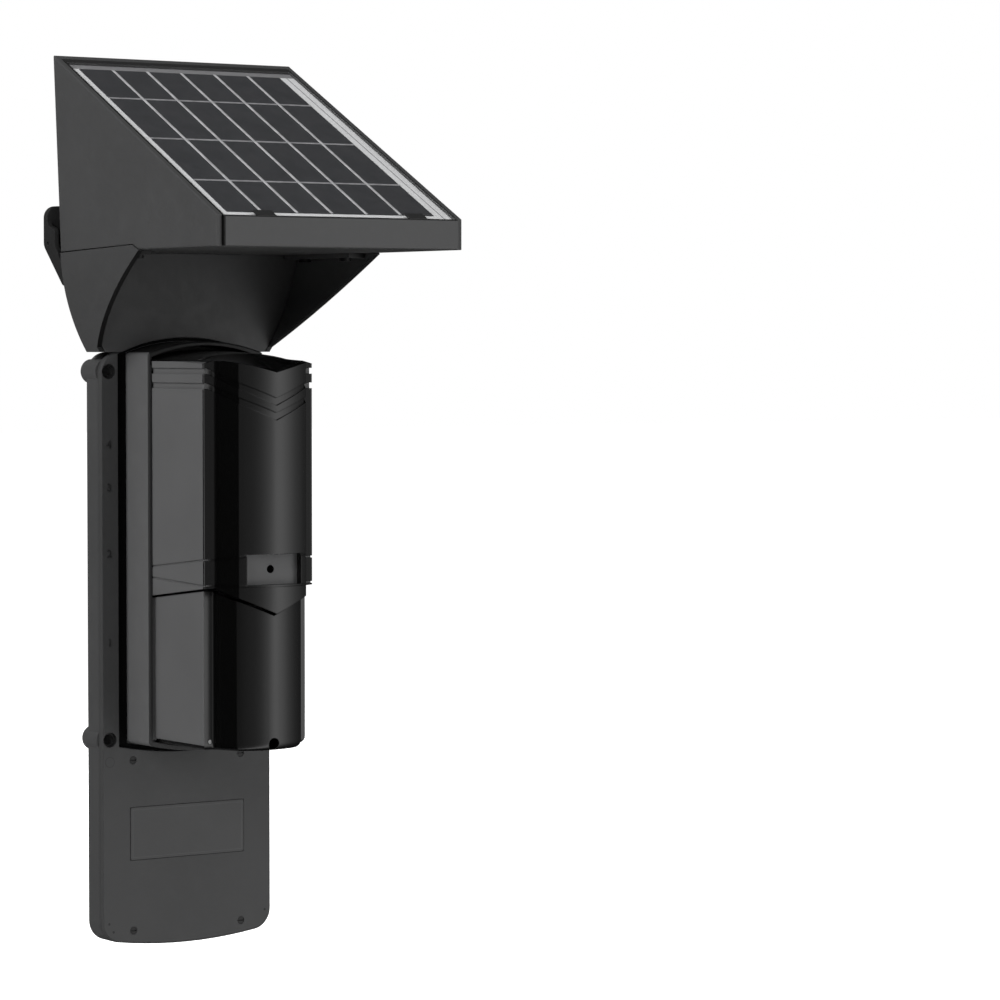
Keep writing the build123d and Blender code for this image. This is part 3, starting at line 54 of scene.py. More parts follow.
def makeCamera(view):
    camera = bpy.data.objects.new("camera", bpy.data.cameras.new("camera"))
    bpy.context.scene.collection.objects.link(camera)
    turn, tilt = math.radians(view["turn"]), math.radians(view["tilt"])
    look = Vector((math.sin(turn) * math.cos(tilt), math.cos(turn) * math.cos(tilt), -math.sin(tilt)))
    camera.location = view["place"]
    camera.rotation_mode = "QUATERNION"
    camera.rotation_quaternion = look.to_track_quat("-Z", "Y")
    camera.data.lens = view["lens"]
    camera.data.sensor_width = view["sensor"]
    camera.data.clip_start, camera.data.clip_end = view["clip"]
    bpy.context.scene.camera = camera


makeCamera(viewpoint)
print("camera set")


# Shared bits of shader, small enough to mix in any finish
def newMaterial(name):
    material = bpy.data.materials.new(name)
    material.use_nodes = True
    tree = material.node_tree
    tree.nodes.clear()
    shader = tree.nodes.new("ShaderNodeBsdfPrincipled")
    output = tree.nodes.new("ShaderNodeOutputMaterial")
    tree.links.new(shader.outputs["BSDF"], output.inputs["Surface"])
    place = tree.nodes.new("ShaderNodeTexCoord").outputs["Object"]
    return material, tree, shader, place


def plug(tree, value, socket):
    if isinstance(value, bpy.types.NodeSocket):
        tree.links.new(value, socket)
    elif socket.type == "RGBA":
        socket.default_value = (*value, 1)
    else:
        socket.default_value = value


def addMath(tree, operation, first, second=0.0):
    node = tree.nodes.new("ShaderNodeMath")
    node.operation = operation
    plug(tree, first, node.inputs[0])
    plug(tree, second, node.inputs[1])
    return node.outputs[0]


def addVector(tree, operation, first, second=None, output="Vector"):
    node = tree.nodes.new("ShaderNodeVectorMath")
    node.operation = operation
    tree.links.new(first, node.inputs[0])
    if second is not None:
        tree.links.new(second, node.inputs[1])
    return node.outputs[output]


def addAxes(tree, place):  # x, distance out from the wall and level, in millimetres
    split = tree.nodes.new("ShaderNodeSeparateXYZ")
    tree.links.new(place, split.inputs[0])
    scales = (("X", 1 / mm), ("Y", -1 / mm), ("Z", 1 / mm))
    return [addMath(tree, "MULTIPLY", split.outputs[axis], scale) for axis, scale in scales]


def addBand(tree, value, low, high):  # 1 between low and high, 0 outside
    above = addMath(tree, "GREATER_THAN", value, low)
    return addMath(tree, "MULTIPLY", above, addMath(tree, "LESS_THAN", value, high))


def addTrueNormal(tree):
    return tree.nodes.new("ShaderNodeNewGeometry").outputs["True Normal"]


def addFacing(tree, axis):  # how far the surface itself faces along an axis, -1 to 1
    split = tree.nodes.new("ShaderNodeSeparateXYZ")
    tree.links.new(addTrueNormal(tree), split.inputs[0])
    return split.outputs[axis]


def addSpots(tree, place, spots, radius):  # 1 inside any round spot, given as (x, level)
    x, _, level = addAxes(tree, place)
    inside = 0.0
    for spotX, spotLevel in spots:
        gaps = addMath(tree, "SUBTRACT", x, spotX), addMath(tree, "SUBTRACT", level, spotLevel)
        squares = [addMath(tree, "MULTIPLY", gap, gap) for gap in gaps]
        near = addMath(tree, "LESS_THAN", addMath(tree, "ADD", *squares), radius ** 2)
        inside = addMath(tree, "MAXIMUM", near, inside)
    return inside


def addNoise(tree, place, size, detail, stretch=(1, 1, 1)):  # blots about size metres across
    mapping = tree.nodes.new("ShaderNodeMapping")
    mapping.inputs["Scale"].default_value = [share / size for share in stretch]
    noise = tree.nodes.new("ShaderNodeTexNoise")
    noise.inputs["Scale"].default_value = 1.0
    noise.inputs["Detail"].default_value = detail
    tree.links.new(place, mapping.inputs["Vector"])
    tree.links.new(mapping.outputs["Vector"], noise.inputs["Vector"])
    return noise.outputs["Fac"]


def addRange(tree, value, low, high, start=0.35, end=0.65):  # noise between start and end onto low..high
    spread = tree.nodes.new("ShaderNodeMapRange")
    spread.inputs["From Min"].default_value = start
    spread.inputs["From Max"].default_value = end
    spread.inputs["To Min"].default_value = low
    spread.inputs["To Max"].default_value = high
    tree.links.new(value, spread.inputs["Value"])
    return spread.outputs["Result"]


def addMix(tree, share, first, second, kind="RGBA"):
    mix = tree.nodes.new("ShaderNodeMix")
    mix.data_type = kind
    sockets = {socket.name: socket for socket in mix.inputs if socket.enabled}
    plug(tree, share, sockets["Factor"])
    plug(tree, first, sockets["A"])
    plug(tree, second, sockets["B"])
    return next(socket for socket in mix.outputs if socket.enabled)


def addBump(tree, height, depth, strength=1.0, below=None):
    bump = tree.nodes.new("ShaderNodeBump")
    bump.inputs["Distance"].default_value = depth
    bump.inputs["Strength"].default_value = strength
    tree.links.new(height, bump.inputs["Height"])
    if below is not None:
        tree.links.new(below, bump.inputs["Normal"])
    return bump.outputs["Normal"]


def addSoftEdge(tree, radius):  # the small round of a moulded or pressed edge
    edge = tree.nodes.new("ShaderNodeBevel")
    edge.samples = 6
    edge.inputs["Radius"].default_value = radius
    return edge.outputs["Normal"]


def addEdgeShare(tree, softEdge, start, end):  # near 1 where an edge rounds off, 0 on the flats
    facing = addVector(tree, "DOT_PRODUCT", softEdge, addTrueNormal(tree), "Value")
    return addRange(tree, facing, 1, 0, start, end)


def grey(level):
    return (level, level * 1.005, level * 1.015)


def shade(colour, factor):
    return tuple(min(1.0, c * factor) for c in colour)


# Injection-moulded plastic: fine spark-eroded grain, slow flow marks, uneven sheen, and edges lightened
# partly as rubbed wear and partly as painted highlight.
# In all finishes, grain, depths and soft edges are in metres, and places on the part in millimetres.
moulding = {
    "dustParts": 9,  # how many times finer the dust is than the flow marks
    "dustShare": 0.12,
    "dustFrom": (0.5, 0.8),
    "dustShade": 1.8,
    "rubAndHighlightFrom": (0.8, 0.99),
    "rubAndHighlightShade": 2.2,
    "grainStrength": 0.6,
    "beyond": 99,  # millimetres: past the covers, the base and the ends of the head
}


def mouldedPlastic(name, look):
    material, tree, shader, place = newMaterial(name)
    flow = addNoise(tree, place, look["flowSize"], 2.0)
    dust = addNoise(tree, place, look["flowSize"] / moulding["dustParts"], 5.0)
    edge = addSoftEdge(tree, look["edge"])
    colour, uneven = look["colour"], look["uneven"]
    tone = addMix(tree, addRange(tree, flow, 0, 1), shade(colour, 1 - uneven), shade(colour, 1 + uneven))
    dusty = addRange(tree, dust, 0, moulding["dustShare"], *moulding["dustFrom"])
    tone = addMix(tree, dusty, tone, shade(colour, moulding["dustShade"]))
    # edges lighter, partly rubbed wear and partly painted highlight
    rubbedAndHighlit = addMath(tree, "MULTIPLY", addEdgeShare(tree, edge, *moulding["rubAndHighlightFrom"]), look["rubAndHighlight"])
    tone = addMix(tree, rubbedAndHighlit, tone, shade(colour, moulding["rubAndHighlightShade"]))
    grain = addNoise(tree, place, look["grainSize"], 2.0)
    normal = addBump(tree, grain, look["grainDepth"], moulding["grainStrength"], edge)
    if "dimples" in look:
        # painted shade darkening the small dimples, which the bump also sinks
        dimple = addSpots(tree, place, look["dimples"], look["dimpleRadius"])
        tone = addMix(tree, dimple, tone, shade(colour, look["dimplePaintedShade"]))
        normal = addBump(tree, addMath(tree, "SUBTRACT", 1.0, dimple), look["dimpleDepth"], 1.0, normal)
    if "recesses" in look:
        # painted shade darkening the floors of the four wall-screw recesses
        recess = addSpots(tree, place, look["recesses"], look["recessRadius"])
        tone = addMix(tree, recess, tone, shade(colour, look["recessPaintedShade"]))
    if "seam" in look:  # painted shade in the gap down the left end of the fascia
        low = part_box("panel_frame")[0].x / mm
        seam = addBand(tree, addAxes(tree, place)[0], -moulding["beyond"], low + look["seam"])
        tone = addMix(tree, seam, tone, shade(colour, look["seamShade"]))
    if "rim" in look:  # painted shade on the rim round the panel, on its faces that look up the slope
        upwards = addMath(tree, "GREATER_THAN", addFacing(tree, "Z"), look["rimFacing"])
        tone = addMix(tree, upwards, tone, look["rim"])
    if "frontEdgePaintedShade" in look:  # painted shade on the cut front edge of a cheek, where it faces forwards
        forwards = addMath(tree, "LESS_THAN", addFacing(tree, "Y"), -look["edgeFacing"])
        tone = addMix(tree, forwards, tone, look["frontEdgePaintedShade"])
    if "borderLine" in look:  # the shadow line round the front panel
        across = addMath(tree, "ABSOLUTE", addAxes(tree, place)[0])
        border = addMath(tree, "GREATER_THAN", across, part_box("front_panel")[1].x / mm - look["borderLine"])
        tone = addMix(tree, border, tone, shade(colour, look["borderShade"]))
    if "frontPaintedShade" in look:  # painted shade on the recessed front of the body's base, next to the cover's side, and on its crown, under the head
        x, out, level = addAxes(tree, place)
        tone = addMix(tree, addMath(tree, "GREATER_THAN", out, look["frontFrom"]), tone, look["frontPaintedShade"])
        inner = addBand(tree, x, -look["crownHalf"], look["crownHalf"])
        crown = addMath(tree, "MULTIPLY", inner, addBand(tree, level, look["crownFrom"], moulding["beyond"]))
        tone = addMix(tree, crown, tone, look["crownPaintedShade"])
    if "rings" in look:  # faint round marks of the mould
        outer = addSpots(tree, place, look["rings"], look["ringRadius"])
        inner = addSpots(tree, place, look["rings"], look["ringRadius"] - look["ringWidth"])
        ring = addMath(tree, "MULTIPLY", addMath(tree, "SUBTRACT", outer, inner), look["ringShare"])
        tone = addMix(tree, ring, tone, shade(colour, look["ringShade"]))
    tree.links.new(tone, shader.inputs["Base Color"])
    sheen = addRange(tree, dust, look["roughness"] - look["patchy"], look["roughness"] + look["patchy"])
    tree.links.new(sheen, shader.inputs["Roughness"])
    tree.links.new(normal, shader.inputs["Normal"])
    shader.inputs["Specular IOR Level"].default_value = look["specular"]
    return material


plastics = {
    "housing": dict(
        colour=grey(0.053), roughness=0.5, patchy=0.03, uneven=0.035, flowSize=0.05, grainSize=0.00045,
        grainDepth=0.00003, edge=0.0005, rubAndHighlight=0.08, specular=0.35,
    ),
    "cheek": dict(
        colour=grey(0.05), roughness=0.5, patchy=0.03, uneven=0.035, flowSize=0.05, grainSize=0.00045,
        # the near-black on the cheeks' forward-facing edges is painted shade
        grainDepth=0.00003, edge=0.0004, rubAndHighlight=0.0, specular=0.35, frontEdgePaintedShade=grey(0.004), edgeFacing=0.45,
    ),
    "face": dict(
        colour=grey(0.045), roughness=0.5, patchy=0.03, uneven=0.035, flowSize=0.05, grainSize=0.00045,
        grainDepth=0.00003, edge=0.0004, rubAndHighlight=0.08, specular=0.35,
        recesses=[(-37.9, 78.2), (-37.9, -78.2), (37.9, 78.2), (37.9, -78.2)], recessRadius=3.2,
        recessPaintedShade=0.3, borderLine=0.45, borderShade=0.3,
        dimples=[(-38.6, -156.8), (-36.5, -160.4), (38.8, -156.7), (37.7, -86.9)], dimpleRadius=0.55,
        dimplePaintedShade=0.25, dimpleDepth=0.0004,
        rings=[(-38.0, -87.7)], ringRadius=2.3, ringWidth=0.3, ringShare=0.6, ringShade=0.4,
    ),
    "base": dict(
        colour=grey(0.088), roughness=0.5, patchy=0.02, uneven=0.02, flowSize=0.06, grainSize=0.0004,
        grainDepth=0.00002, edge=0.0004, rubAndHighlight=0.05, specular=0.3,
        frontFrom=31.4, frontPaintedShade=grey(0.028), crownFrom=81.0, crownHalf=27.6, crownPaintedShade=grey(0.008),
    ),
    "frame": dict(
        colour=grey(0.066), roughness=0.45, patchy=0.02, uneven=0.02, flowSize=0.05, grainSize=0.0004,
        grainDepth=0.00002, edge=0.0004, rubAndHighlight=0.05, specular=0.3,
        seam=0.7, seamShade=0.08, rim=grey(0.02), rimFacing=0.3,
    ),
    "bracket": dict(
        colour=grey(0.02), roughness=0.5, patchy=0.05, uneven=0.05, flowSize=0.02, grainSize=0.0006,
        grainDepth=0.00004, edge=0.0007, rubAndHighlight=0.2, specular=0.3,
    ),
    "optics": dict(
        colour=grey(0.02), roughness=0.55, patchy=0.04, uneven=0.05, flowSize=0.02, grainSize=0.0004,
        grainDepth=0.00003, edge=0.0004, rubAndHighlight=0.1, specular=0.35,
    ),
    "terminal": dict(
        colour=(0.03, 0.22, 0.07), roughness=0.4, patchy=0.03, uneven=0.04, flowSize=0.01,
        grainSize=0.0003, grainDepth=0.00002, edge=0.0003, rubAndHighlight=0.1, specular=0.4,
    ),
    "white": dict(
        colour=(0.7, 0.7, 0.67), roughness=0.4, patchy=0.03, uneven=0.03, flowSize=0.01,
        grainSize=0.0003, grainDepth=0.00001, edge=0.0002, rubAndHighlight=0.0, specular=0.4,
    ),
    "wrap": dict(
        colour=(0.03, 0.09, 0.26), roughness=0.3, patchy=0.04, uneven=0.06, flowSize=0.008,
        grainSize=0.0009, grainDepth=0.00002, edge=0.0002, rubAndHighlight=0.1, specular=0.5,
    ),
    # near-black seal round the body's base: a gasket, and partly painted shade for the dark gap there
    "sealAndShade": dict(
        colour=grey(0.002), roughness=0.8, patchy=0.04, uneven=0.08, flowSize=0.01, grainSize=0.0003,
        grainDepth=0.00005, edge=0.0003, rubAndHighlight=0.0, specular=0.1,
    ),
    "rubber": dict(
        colour=grey(0.018), roughness=0.75, patchy=0.04, uneven=0.08, flowSize=0.01, grainSize=0.0003,
        grainDepth=0.00005, edge=0.0004, rubAndHighlight=0.1, specular=0.25,
    ),
}
made = {name: mouldedPlastic(name + "Plastic", look) for name, look in plastics.items()}


# The covers: polished infrared plastic with satin sides, and a matte panel round the cover screw
coverLook = {
    "gloss": grey(0.0016),
    "satin": grey(0.092),
    "satinUneven": 0.04,
    "glossRoughness": (0.16, 0.19),
    "satinRoughness": 0.48,
    "sideFrom": 24.5,  # across, to either side of the middle
    "sideTo": 73.3,  # out from the wall
    "sideTop": 82.6,
    "panelHalf": 13.0,
    "panelLevels": (-9.8, 2.8),
    "panelOuts": (83.1, 83.5),
    "strip": (17.3, 26),  # the flat strip beside the nose leans a little away from it
    "stripTo": 74,
    "stripLean": 0.34,
    "flowSize": 0.04,
    "edge": 0.0005,
    "rubAndHighlight": 0.35,
    "rubAndHighlightShade": 1.3,
    "grainSize": 0.00045,
    "grainDepth": 0.00002,
    "peelSize": 0.004,
    "peelDepth": 0.000012,
    "peelStrength": 0.5,
    "specular": 0.5,
}


def coverPlastic(name, look):
    material, tree, shader, place = newMaterial(name)
    x, out, level = addAxes(tree, place)
    across = addMath(tree, "ABSOLUTE", x)
    beyond = moulding["beyond"]

    def zone(*bands):  # 1 where all the bands hold
        inside = 1.0
        for value, low, high in bands:
            inside = addMath(tree, "MULTIPLY", addBand(tree, value, low, high), inside)
        return inside

    underTop = (level, -beyond, look["sideTop"])
    side = zone((across, look["sideFrom"], beyond), (out, 0, look["sideTo"]), underTop)
    panel = zone((across, -1, look["panelHalf"]), (out, *look["panelOuts"]), (level, *look["panelLevels"]))
    satin = addMath(tree, "MAXIMUM", side, panel)
    flow = addNoise(tree, place, look["flowSize"], 2.0)
    satinColour, uneven = look["satin"], look["satinUneven"]
    dull, bright = shade(satinColour, 1 - uneven), shade(satinColour, 1 + uneven)
    edge = addSoftEdge(tree, look["edge"])
    # edges of the satin sides lighter, partly rubbed wear and partly painted highlight
    rubbedAndHighlit = addMath(tree, "MULTIPLY", addEdgeShare(tree, edge, *moulding["rubAndHighlightFrom"]), look["rubAndHighlight"])
    satinTone = addMix(tree, addRange(tree, flow, 0, 1), dull, bright)
    satinTone = addMix(tree, rubbedAndHighlit, satinTone, shade(satinColour, look["rubAndHighlightShade"]))
    tree.links.new(addMix(tree, satin, look["gloss"], satinTone), shader.inputs["Base Color"])
    smear = addRange(tree, flow, *look["glossRoughness"])
    tree.links.new(addMix(tree, satin, smear, look["satinRoughness"], "FLOAT"), shader.inputs["Roughness"])
    grain = addMath(tree, "MULTIPLY", addNoise(tree, place, look["grainSize"], 2.0), satin)
    normal = addBump(tree, grain, look["grainDepth"], moulding["grainStrength"], edge)
    peel = addNoise(tree, place, look["peelSize"], 1.0)
    normal = addBump(tree, peel, look["peelDepth"], look["peelStrength"], normal)
    strip = zone((across, *look["strip"]), (out, look["sideTo"], look["stripTo"]))
    lean = addMath(tree, "MULTIPLY", addMath(tree, "SIGN", x), look["stripLean"])
    leaning = tree.nodes.new("ShaderNodeCombineXYZ")
    tree.links.new(addMath(tree, "MULTIPLY", lean, strip), leaning.inputs["X"])
    leant = addVector(tree, "NORMALIZE", addVector(tree, "ADD", normal, leaning.outputs[0]))
    tree.links.new(leant, shader.inputs["Normal"])
    shader.inputs["Specular IOR Level"].default_value = look["specular"]
    return material


made["cover"] = coverPlastic("coverPlastic", coverLook)
print("plastics made")


# Metals, clear plastics and boards
metalSurface = {
    "stretch": (1, 0.08, 1),
    "filmSize": 0.004,
    "filmShades": (0.8, 1.15),
    "duller": (-0.08, 0.12),
    "scratchDepth": 0.00002,
    "scratchStrength": 0.5,
    "edge": 0.00012,
}


def brushedMetal(name, look):
    material, tree, shader, place = newMaterial(name)
    scratch = addNoise(tree, place, look["scratch"], 4.0, metalSurface["stretch"])
    film = addNoise(tree, place, metalSurface["filmSize"], 3.0)
    dark, light = (shade(look["colour"], factor) for factor in metalSurface["filmShades"])
    tree.links.new(addMix(tree, addRange(tree, film, 0, 1), dark, light), shader.inputs["Base Color"])
    sheen = addRange(tree, scratch, *(look["roughness"] + change for change in metalSurface["duller"]))
    tree.links.new(sheen, shader.inputs["Roughness"])
    edge = addSoftEdge(tree, metalSurface["edge"])
    normal = addBump(tree, scratch, metalSurface["scratchDepth"], metalSurface["scratchStrength"], edge)
    tree.links.new(normal, shader.inputs["Normal"])
    shader.inputs["Metallic"].default_value = look["metallic"]
    return material


clearSurface = {"cloudSize": 0.01, "cloudShade": 0.96, "duller": 0.04}


def clearPlastic(name, look):
    material, tree, shader, place = newMaterial(name)
    cloud = addNoise(tree, place, clearSurface["cloudSize"], 2.0)
    colour = look["colour"]
    tone = addMix(tree, addRange(tree, cloud, 0, 1), shade(colour, clearSurface["cloudShade"]), colour)
    tree.links.new(tone, shader.inputs["Base Color"])
    sheen = addRange(tree, cloud, look["roughness"], look["roughness"] + clearSurface["duller"])
    tree.links.new(sheen, shader.inputs["Roughness"])
    shader.inputs["Alpha"].default_value = look["alpha"]
    shader.inputs["Transmission Weight"].default_value = look["transmission"]
    shader.inputs["IOR"].default_value = look["ior"]
    return material


boardLook = {
    "mask": (0.015, 0.09, 0.03),
    "copper": (0.05, 0.2, 0.08),
    "trackPitch": 0.004,
    "trackEdge": (0.03, 0.06),
    "trackDepth": 0.00004,
    "trackStrength": 0.7,
    "filmSize": 0.003,
    "roughness": (0.22, 0.38),
}


def circuitBoard(name, look):  # solder mask over a raised maze of tracks
    material, tree, shader, place = newMaterial(name)
    maze = tree.nodes.new("ShaderNodeTexVoronoi")
    maze.distance = "MANHATTAN"
    maze.feature = "DISTANCE_TO_EDGE"
    maze.inputs["Scale"].default_value = 1 / look["trackPitch"]
    tree.links.new(place, maze.inputs["Vector"])
    track = addRange(tree, maze.outputs["Distance"], 1, 0, *look["trackEdge"])
    tree.links.new(addMix(tree, track, look["mask"], look["copper"]), shader.inputs["Base Color"])
    tree.links.new(addBump(tree, track, look["trackDepth"], look["trackStrength"]), shader.inputs["Normal"])
    film = addNoise(tree, place, look["filmSize"], 2.0)
    tree.links.new(addRange(tree, film, *look["roughness"]), shader.inputs["Roughness"])
    return material


metals = {
    "blackSteel": dict(colour=grey(0.005), scratch=0.0003, roughness=0.42, metallic=0.3),
    "zincSteel": dict(colour=(0.42, 0.42, 0.43), scratch=0.0003, roughness=0.38, metallic=1.0),
    "ribbonTin": dict(colour=(0.52, 0.52, 0.53), scratch=0.0004, roughness=0.45, metallic=0.15),
    "fineTin": dict(colour=(0.3, 0.3, 0.31), scratch=0.0004, roughness=0.45, metallic=0.15),
    "brass": dict(colour=(0.62, 0.46, 0.2), scratch=0.0003, roughness=0.34, metallic=1.0),
}
clears = {
    "panelClear": dict(colour=(0.1, 0.1, 0.105), alpha=0.06, transmission=0.0, roughness=0.3, ior=1.3),
    "lensRed": dict(colour=(0.22, 0.015, 0.02), alpha=1.0, transmission=0.6, roughness=0.08, ior=1.49),
    "pipeClear": dict(colour=(0.9, 0.9, 0.9), alpha=1.0, transmission=0.7, roughness=0.15, ior=1.49),
}
made.update({name: brushedMetal(name, look) for name, look in metals.items()})
made.update({name: clearPlastic(name, look) for name, look in clears.items()})
made["board"] = circuitBoard("boardGreen", boardLook)


# Solar panel: dark silicon with faint fingers, on a white sheet with a thin line beside the bus
panelLook = {
    "silicon": (0.044, 0.045, 0.048),
    "siliconDark": (0.038, 0.039, 0.042),
    "blotchSize": 0.012,
    "finger": (0.056, 0.057, 0.060),
    "fingerPitch": 0.0017,
    "fingerEdge": (0.8, 1.0),
    "fingerShare": 0.2,
    "cellRoughness": (0.38, 0.48),
    "cellSpecular": 0.2,
    "sheet": (0.76, 0.765, 0.77),
    "sheetCloud": 0.03,
    "sheetShade": 0.97,
    "sheetRoughness": (0.5, 0.6),
    "sheetSpecular": 0.3,
    "topEdge": (0.22, 0.22, 0.225),  # shaded by the frame's upper rim
    "busLine": (0.22, 0.22, 0.23),
    "busOff": 3.8,
    "busLineWidth": 0.5,
}


def solarCell(name, look):
    material, tree, shader, place = newMaterial(name)
    blotch = addNoise(tree, place, look["blotchSize"], 2.0)
    wave = tree.nodes.new("ShaderNodeTexWave")
    wave.wave_type = "BANDS"
    wave.bands_direction = "X"
    wave.inputs["Scale"].default_value = math.pi / (10 * look["fingerPitch"])  # a band is pi / 10 at scale 1
    wave.inputs["Distortion"].default_value = 0.0
    tree.links.new(place, wave.inputs["Vector"])
    body = addMix(tree, addRange(tree, blotch, 0, 1), look["silicon"], look["siliconDark"])
    fingers = addRange(tree, wave.outputs["Fac"], 0, look["fingerShare"], *look["fingerEdge"])
    tree.links.new(addMix(tree, fingers, body, look["finger"]), shader.inputs["Base Color"])
    tree.links.new(addRange(tree, blotch, *look["cellRoughness"]), shader.inputs["Roughness"])
    shader.inputs["Specular IOR Level"].default_value = look["cellSpecular"]
    return material


def panelSheet(name, look):
    material, tree, shader, place = newMaterial(name)
    x, _, level = addAxes(tree, place)
    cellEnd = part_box("solar_cells")[1] / mm
    line = cellEnd.x + look["busOff"]
    cloud = addNoise(tree, place, look["sheetCloud"], 3.0)
    tone = addMix(tree, addRange(tree, cloud, 0, 1), shade(look["sheet"], look["sheetShade"]), look["sheet"])
    tone = addMix(tree, addBand(tree, x, line, line + look["busLineWidth"]), tone, look["busLine"])
    tone = addMix(tree, addMath(tree, "GREATER_THAN", level, cellEnd.z), tone, look["topEdge"])
    tree.links.new(tone, shader.inputs["Base Color"])
    tree.links.new(addRange(tree, cloud, *look["sheetRoughness"]), shader.inputs["Roughness"])
    shader.inputs["Specular IOR Level"].default_value = look["sheetSpecular"]
    return material


made["cell"] = solarCell("solarCell", panelLook)
made["sheet"] = panelSheet("panelSheet", panelLook)


# Bare label plate: satin foil with a printed border line
labelLook = {
    "foil": grey(0.046),
    "uneven": 0.05,
    "line": grey(0.06),
    "inset": 0.9,
    "width": 0.3,
    "cloudSize": 0.008,
    "cloudDepth": 0.00002,
    "cloudStrength": 0.4,
    "roughness": (0.39, 0.47),
    "specular": 0.35,
}


def labelFoil(name, look):
    material, tree, shader, place = newMaterial(name)
    x, _, level = addAxes(tree, place)
    low, high = (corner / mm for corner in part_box("label_plate"))
    fromMiddle = addMath(tree, "SUBTRACT", level, (low.z + high.z) / 2)
    across = addMath(tree, "SUBTRACT", (high.x - low.x) / 2, addMath(tree, "ABSOLUTE", x))
    along = addMath(tree, "SUBTRACT", (high.z - low.z) / 2, addMath(tree, "ABSOLUTE", fromMiddle))
    inset = addMath(tree, "MINIMUM", across, along)
    line = addBand(tree, inset, look["inset"], look["inset"] + look["width"])
    cloud = addNoise(tree, place, look["cloudSize"], 4.0)
    dull, bright = shade(look["foil"], 1 - look["uneven"]), shade(look["foil"], 1 + look["uneven"])
    foil = addMix(tree, addRange(tree, cloud, 0, 1), dull, bright)
    tree.links.new(addMix(tree, line, foil, look["line"]), shader.inputs["Base Color"])
    tree.links.new(addRange(tree, cloud, *look["roughness"]), shader.inputs["Roughness"])
    tree.links.new(addBump(tree, cloud, look["cloudDepth"], look["cloudStrength"]), shader.inputs["Normal"])
    shader.inputs["Specular IOR Level"].default_value = look["specular"]
    return material


made["label"] = labelFoil("labelFoil", labelLook)
print("materials made:", len(made))


# Which finish each solid wears
dressing = {
    "housing": ["head_shell", "back_housing", "battery_door"],
    "cheek": ["left_cheek", "right_cheek"],
    "face": ["front_panel"],
    "base": ["body_base"],
    "cover": ["upper_cover", "lower_cover"],
    "frame": ["panel_frame"],
    "bracket": ["rear_bracket"],
    "label": ["label_plate"],
    "sheet": ["solar_sheet"],
    "cell": ["solar_cells"],
    "panelClear": ["solar_cover"],
    "optics": [
        "panel_clips", "optics_carrier", "upper_yoke", "lower_yoke", "upper_barrel", "lower_barrel",
        "tamper_switch", "battery_holder",
    ],
    "lensRed": ["upper_lens", "lower_lens"],
    "board": ["main_board", "radio_board", "charge_board", "upper_diode_board", "lower_diode_board"],
    "terminal": ["terminal_block"],
    "white": ["tamper_plunger", "status_light"],
    "wrap": ["battery_cells"],
    "rubber": ["cable_grommet"],
    "sealAndShade": ["body_seal"],
    "pipeClear": ["light_pipe"],
    "brass": ["terminal_screws", "antenna"],
    "zincSteel": ["battery_contacts", "carrier_screws", "bracket_screws"],
    "blackSteel": ["panel_screws", "ledge_screws", "frame_screws", "cover_screw", "body_screws"],
}
for finish, names in dressing.items():
    for name in names:
        for materialSlot in nodes[name].material_slots:
            materialSlot.material = made[finish]
dressed = [name for names in dressing.values() for name in names]
print("dressed", len(dressed), "of", len(nodes), "nodes; bare:", sorted(set(nodes) - set(dressed)))


# Tinned ribbons over the gaps between the cells, laid by Geometry Nodes, in millimetres
ribbons = {
    "height": 0.3,
    "sides": 10,
    "rows": [
        {
            "name": "column_ribbons",
            "turned": False,
            "count": 5,
            "pitch": 16.6,
            "width": 1.5,
            "raised": 0.05,
            "finish": "ribbonTin",
        },
        {
            "name": "row_ribbons",
            "turned": True,
            "count": 3,
            "pitch": 38.8,
            "width": 1.3,
            "raised": 0.0,
            "finish": "fineTin",
        },
    ],
}


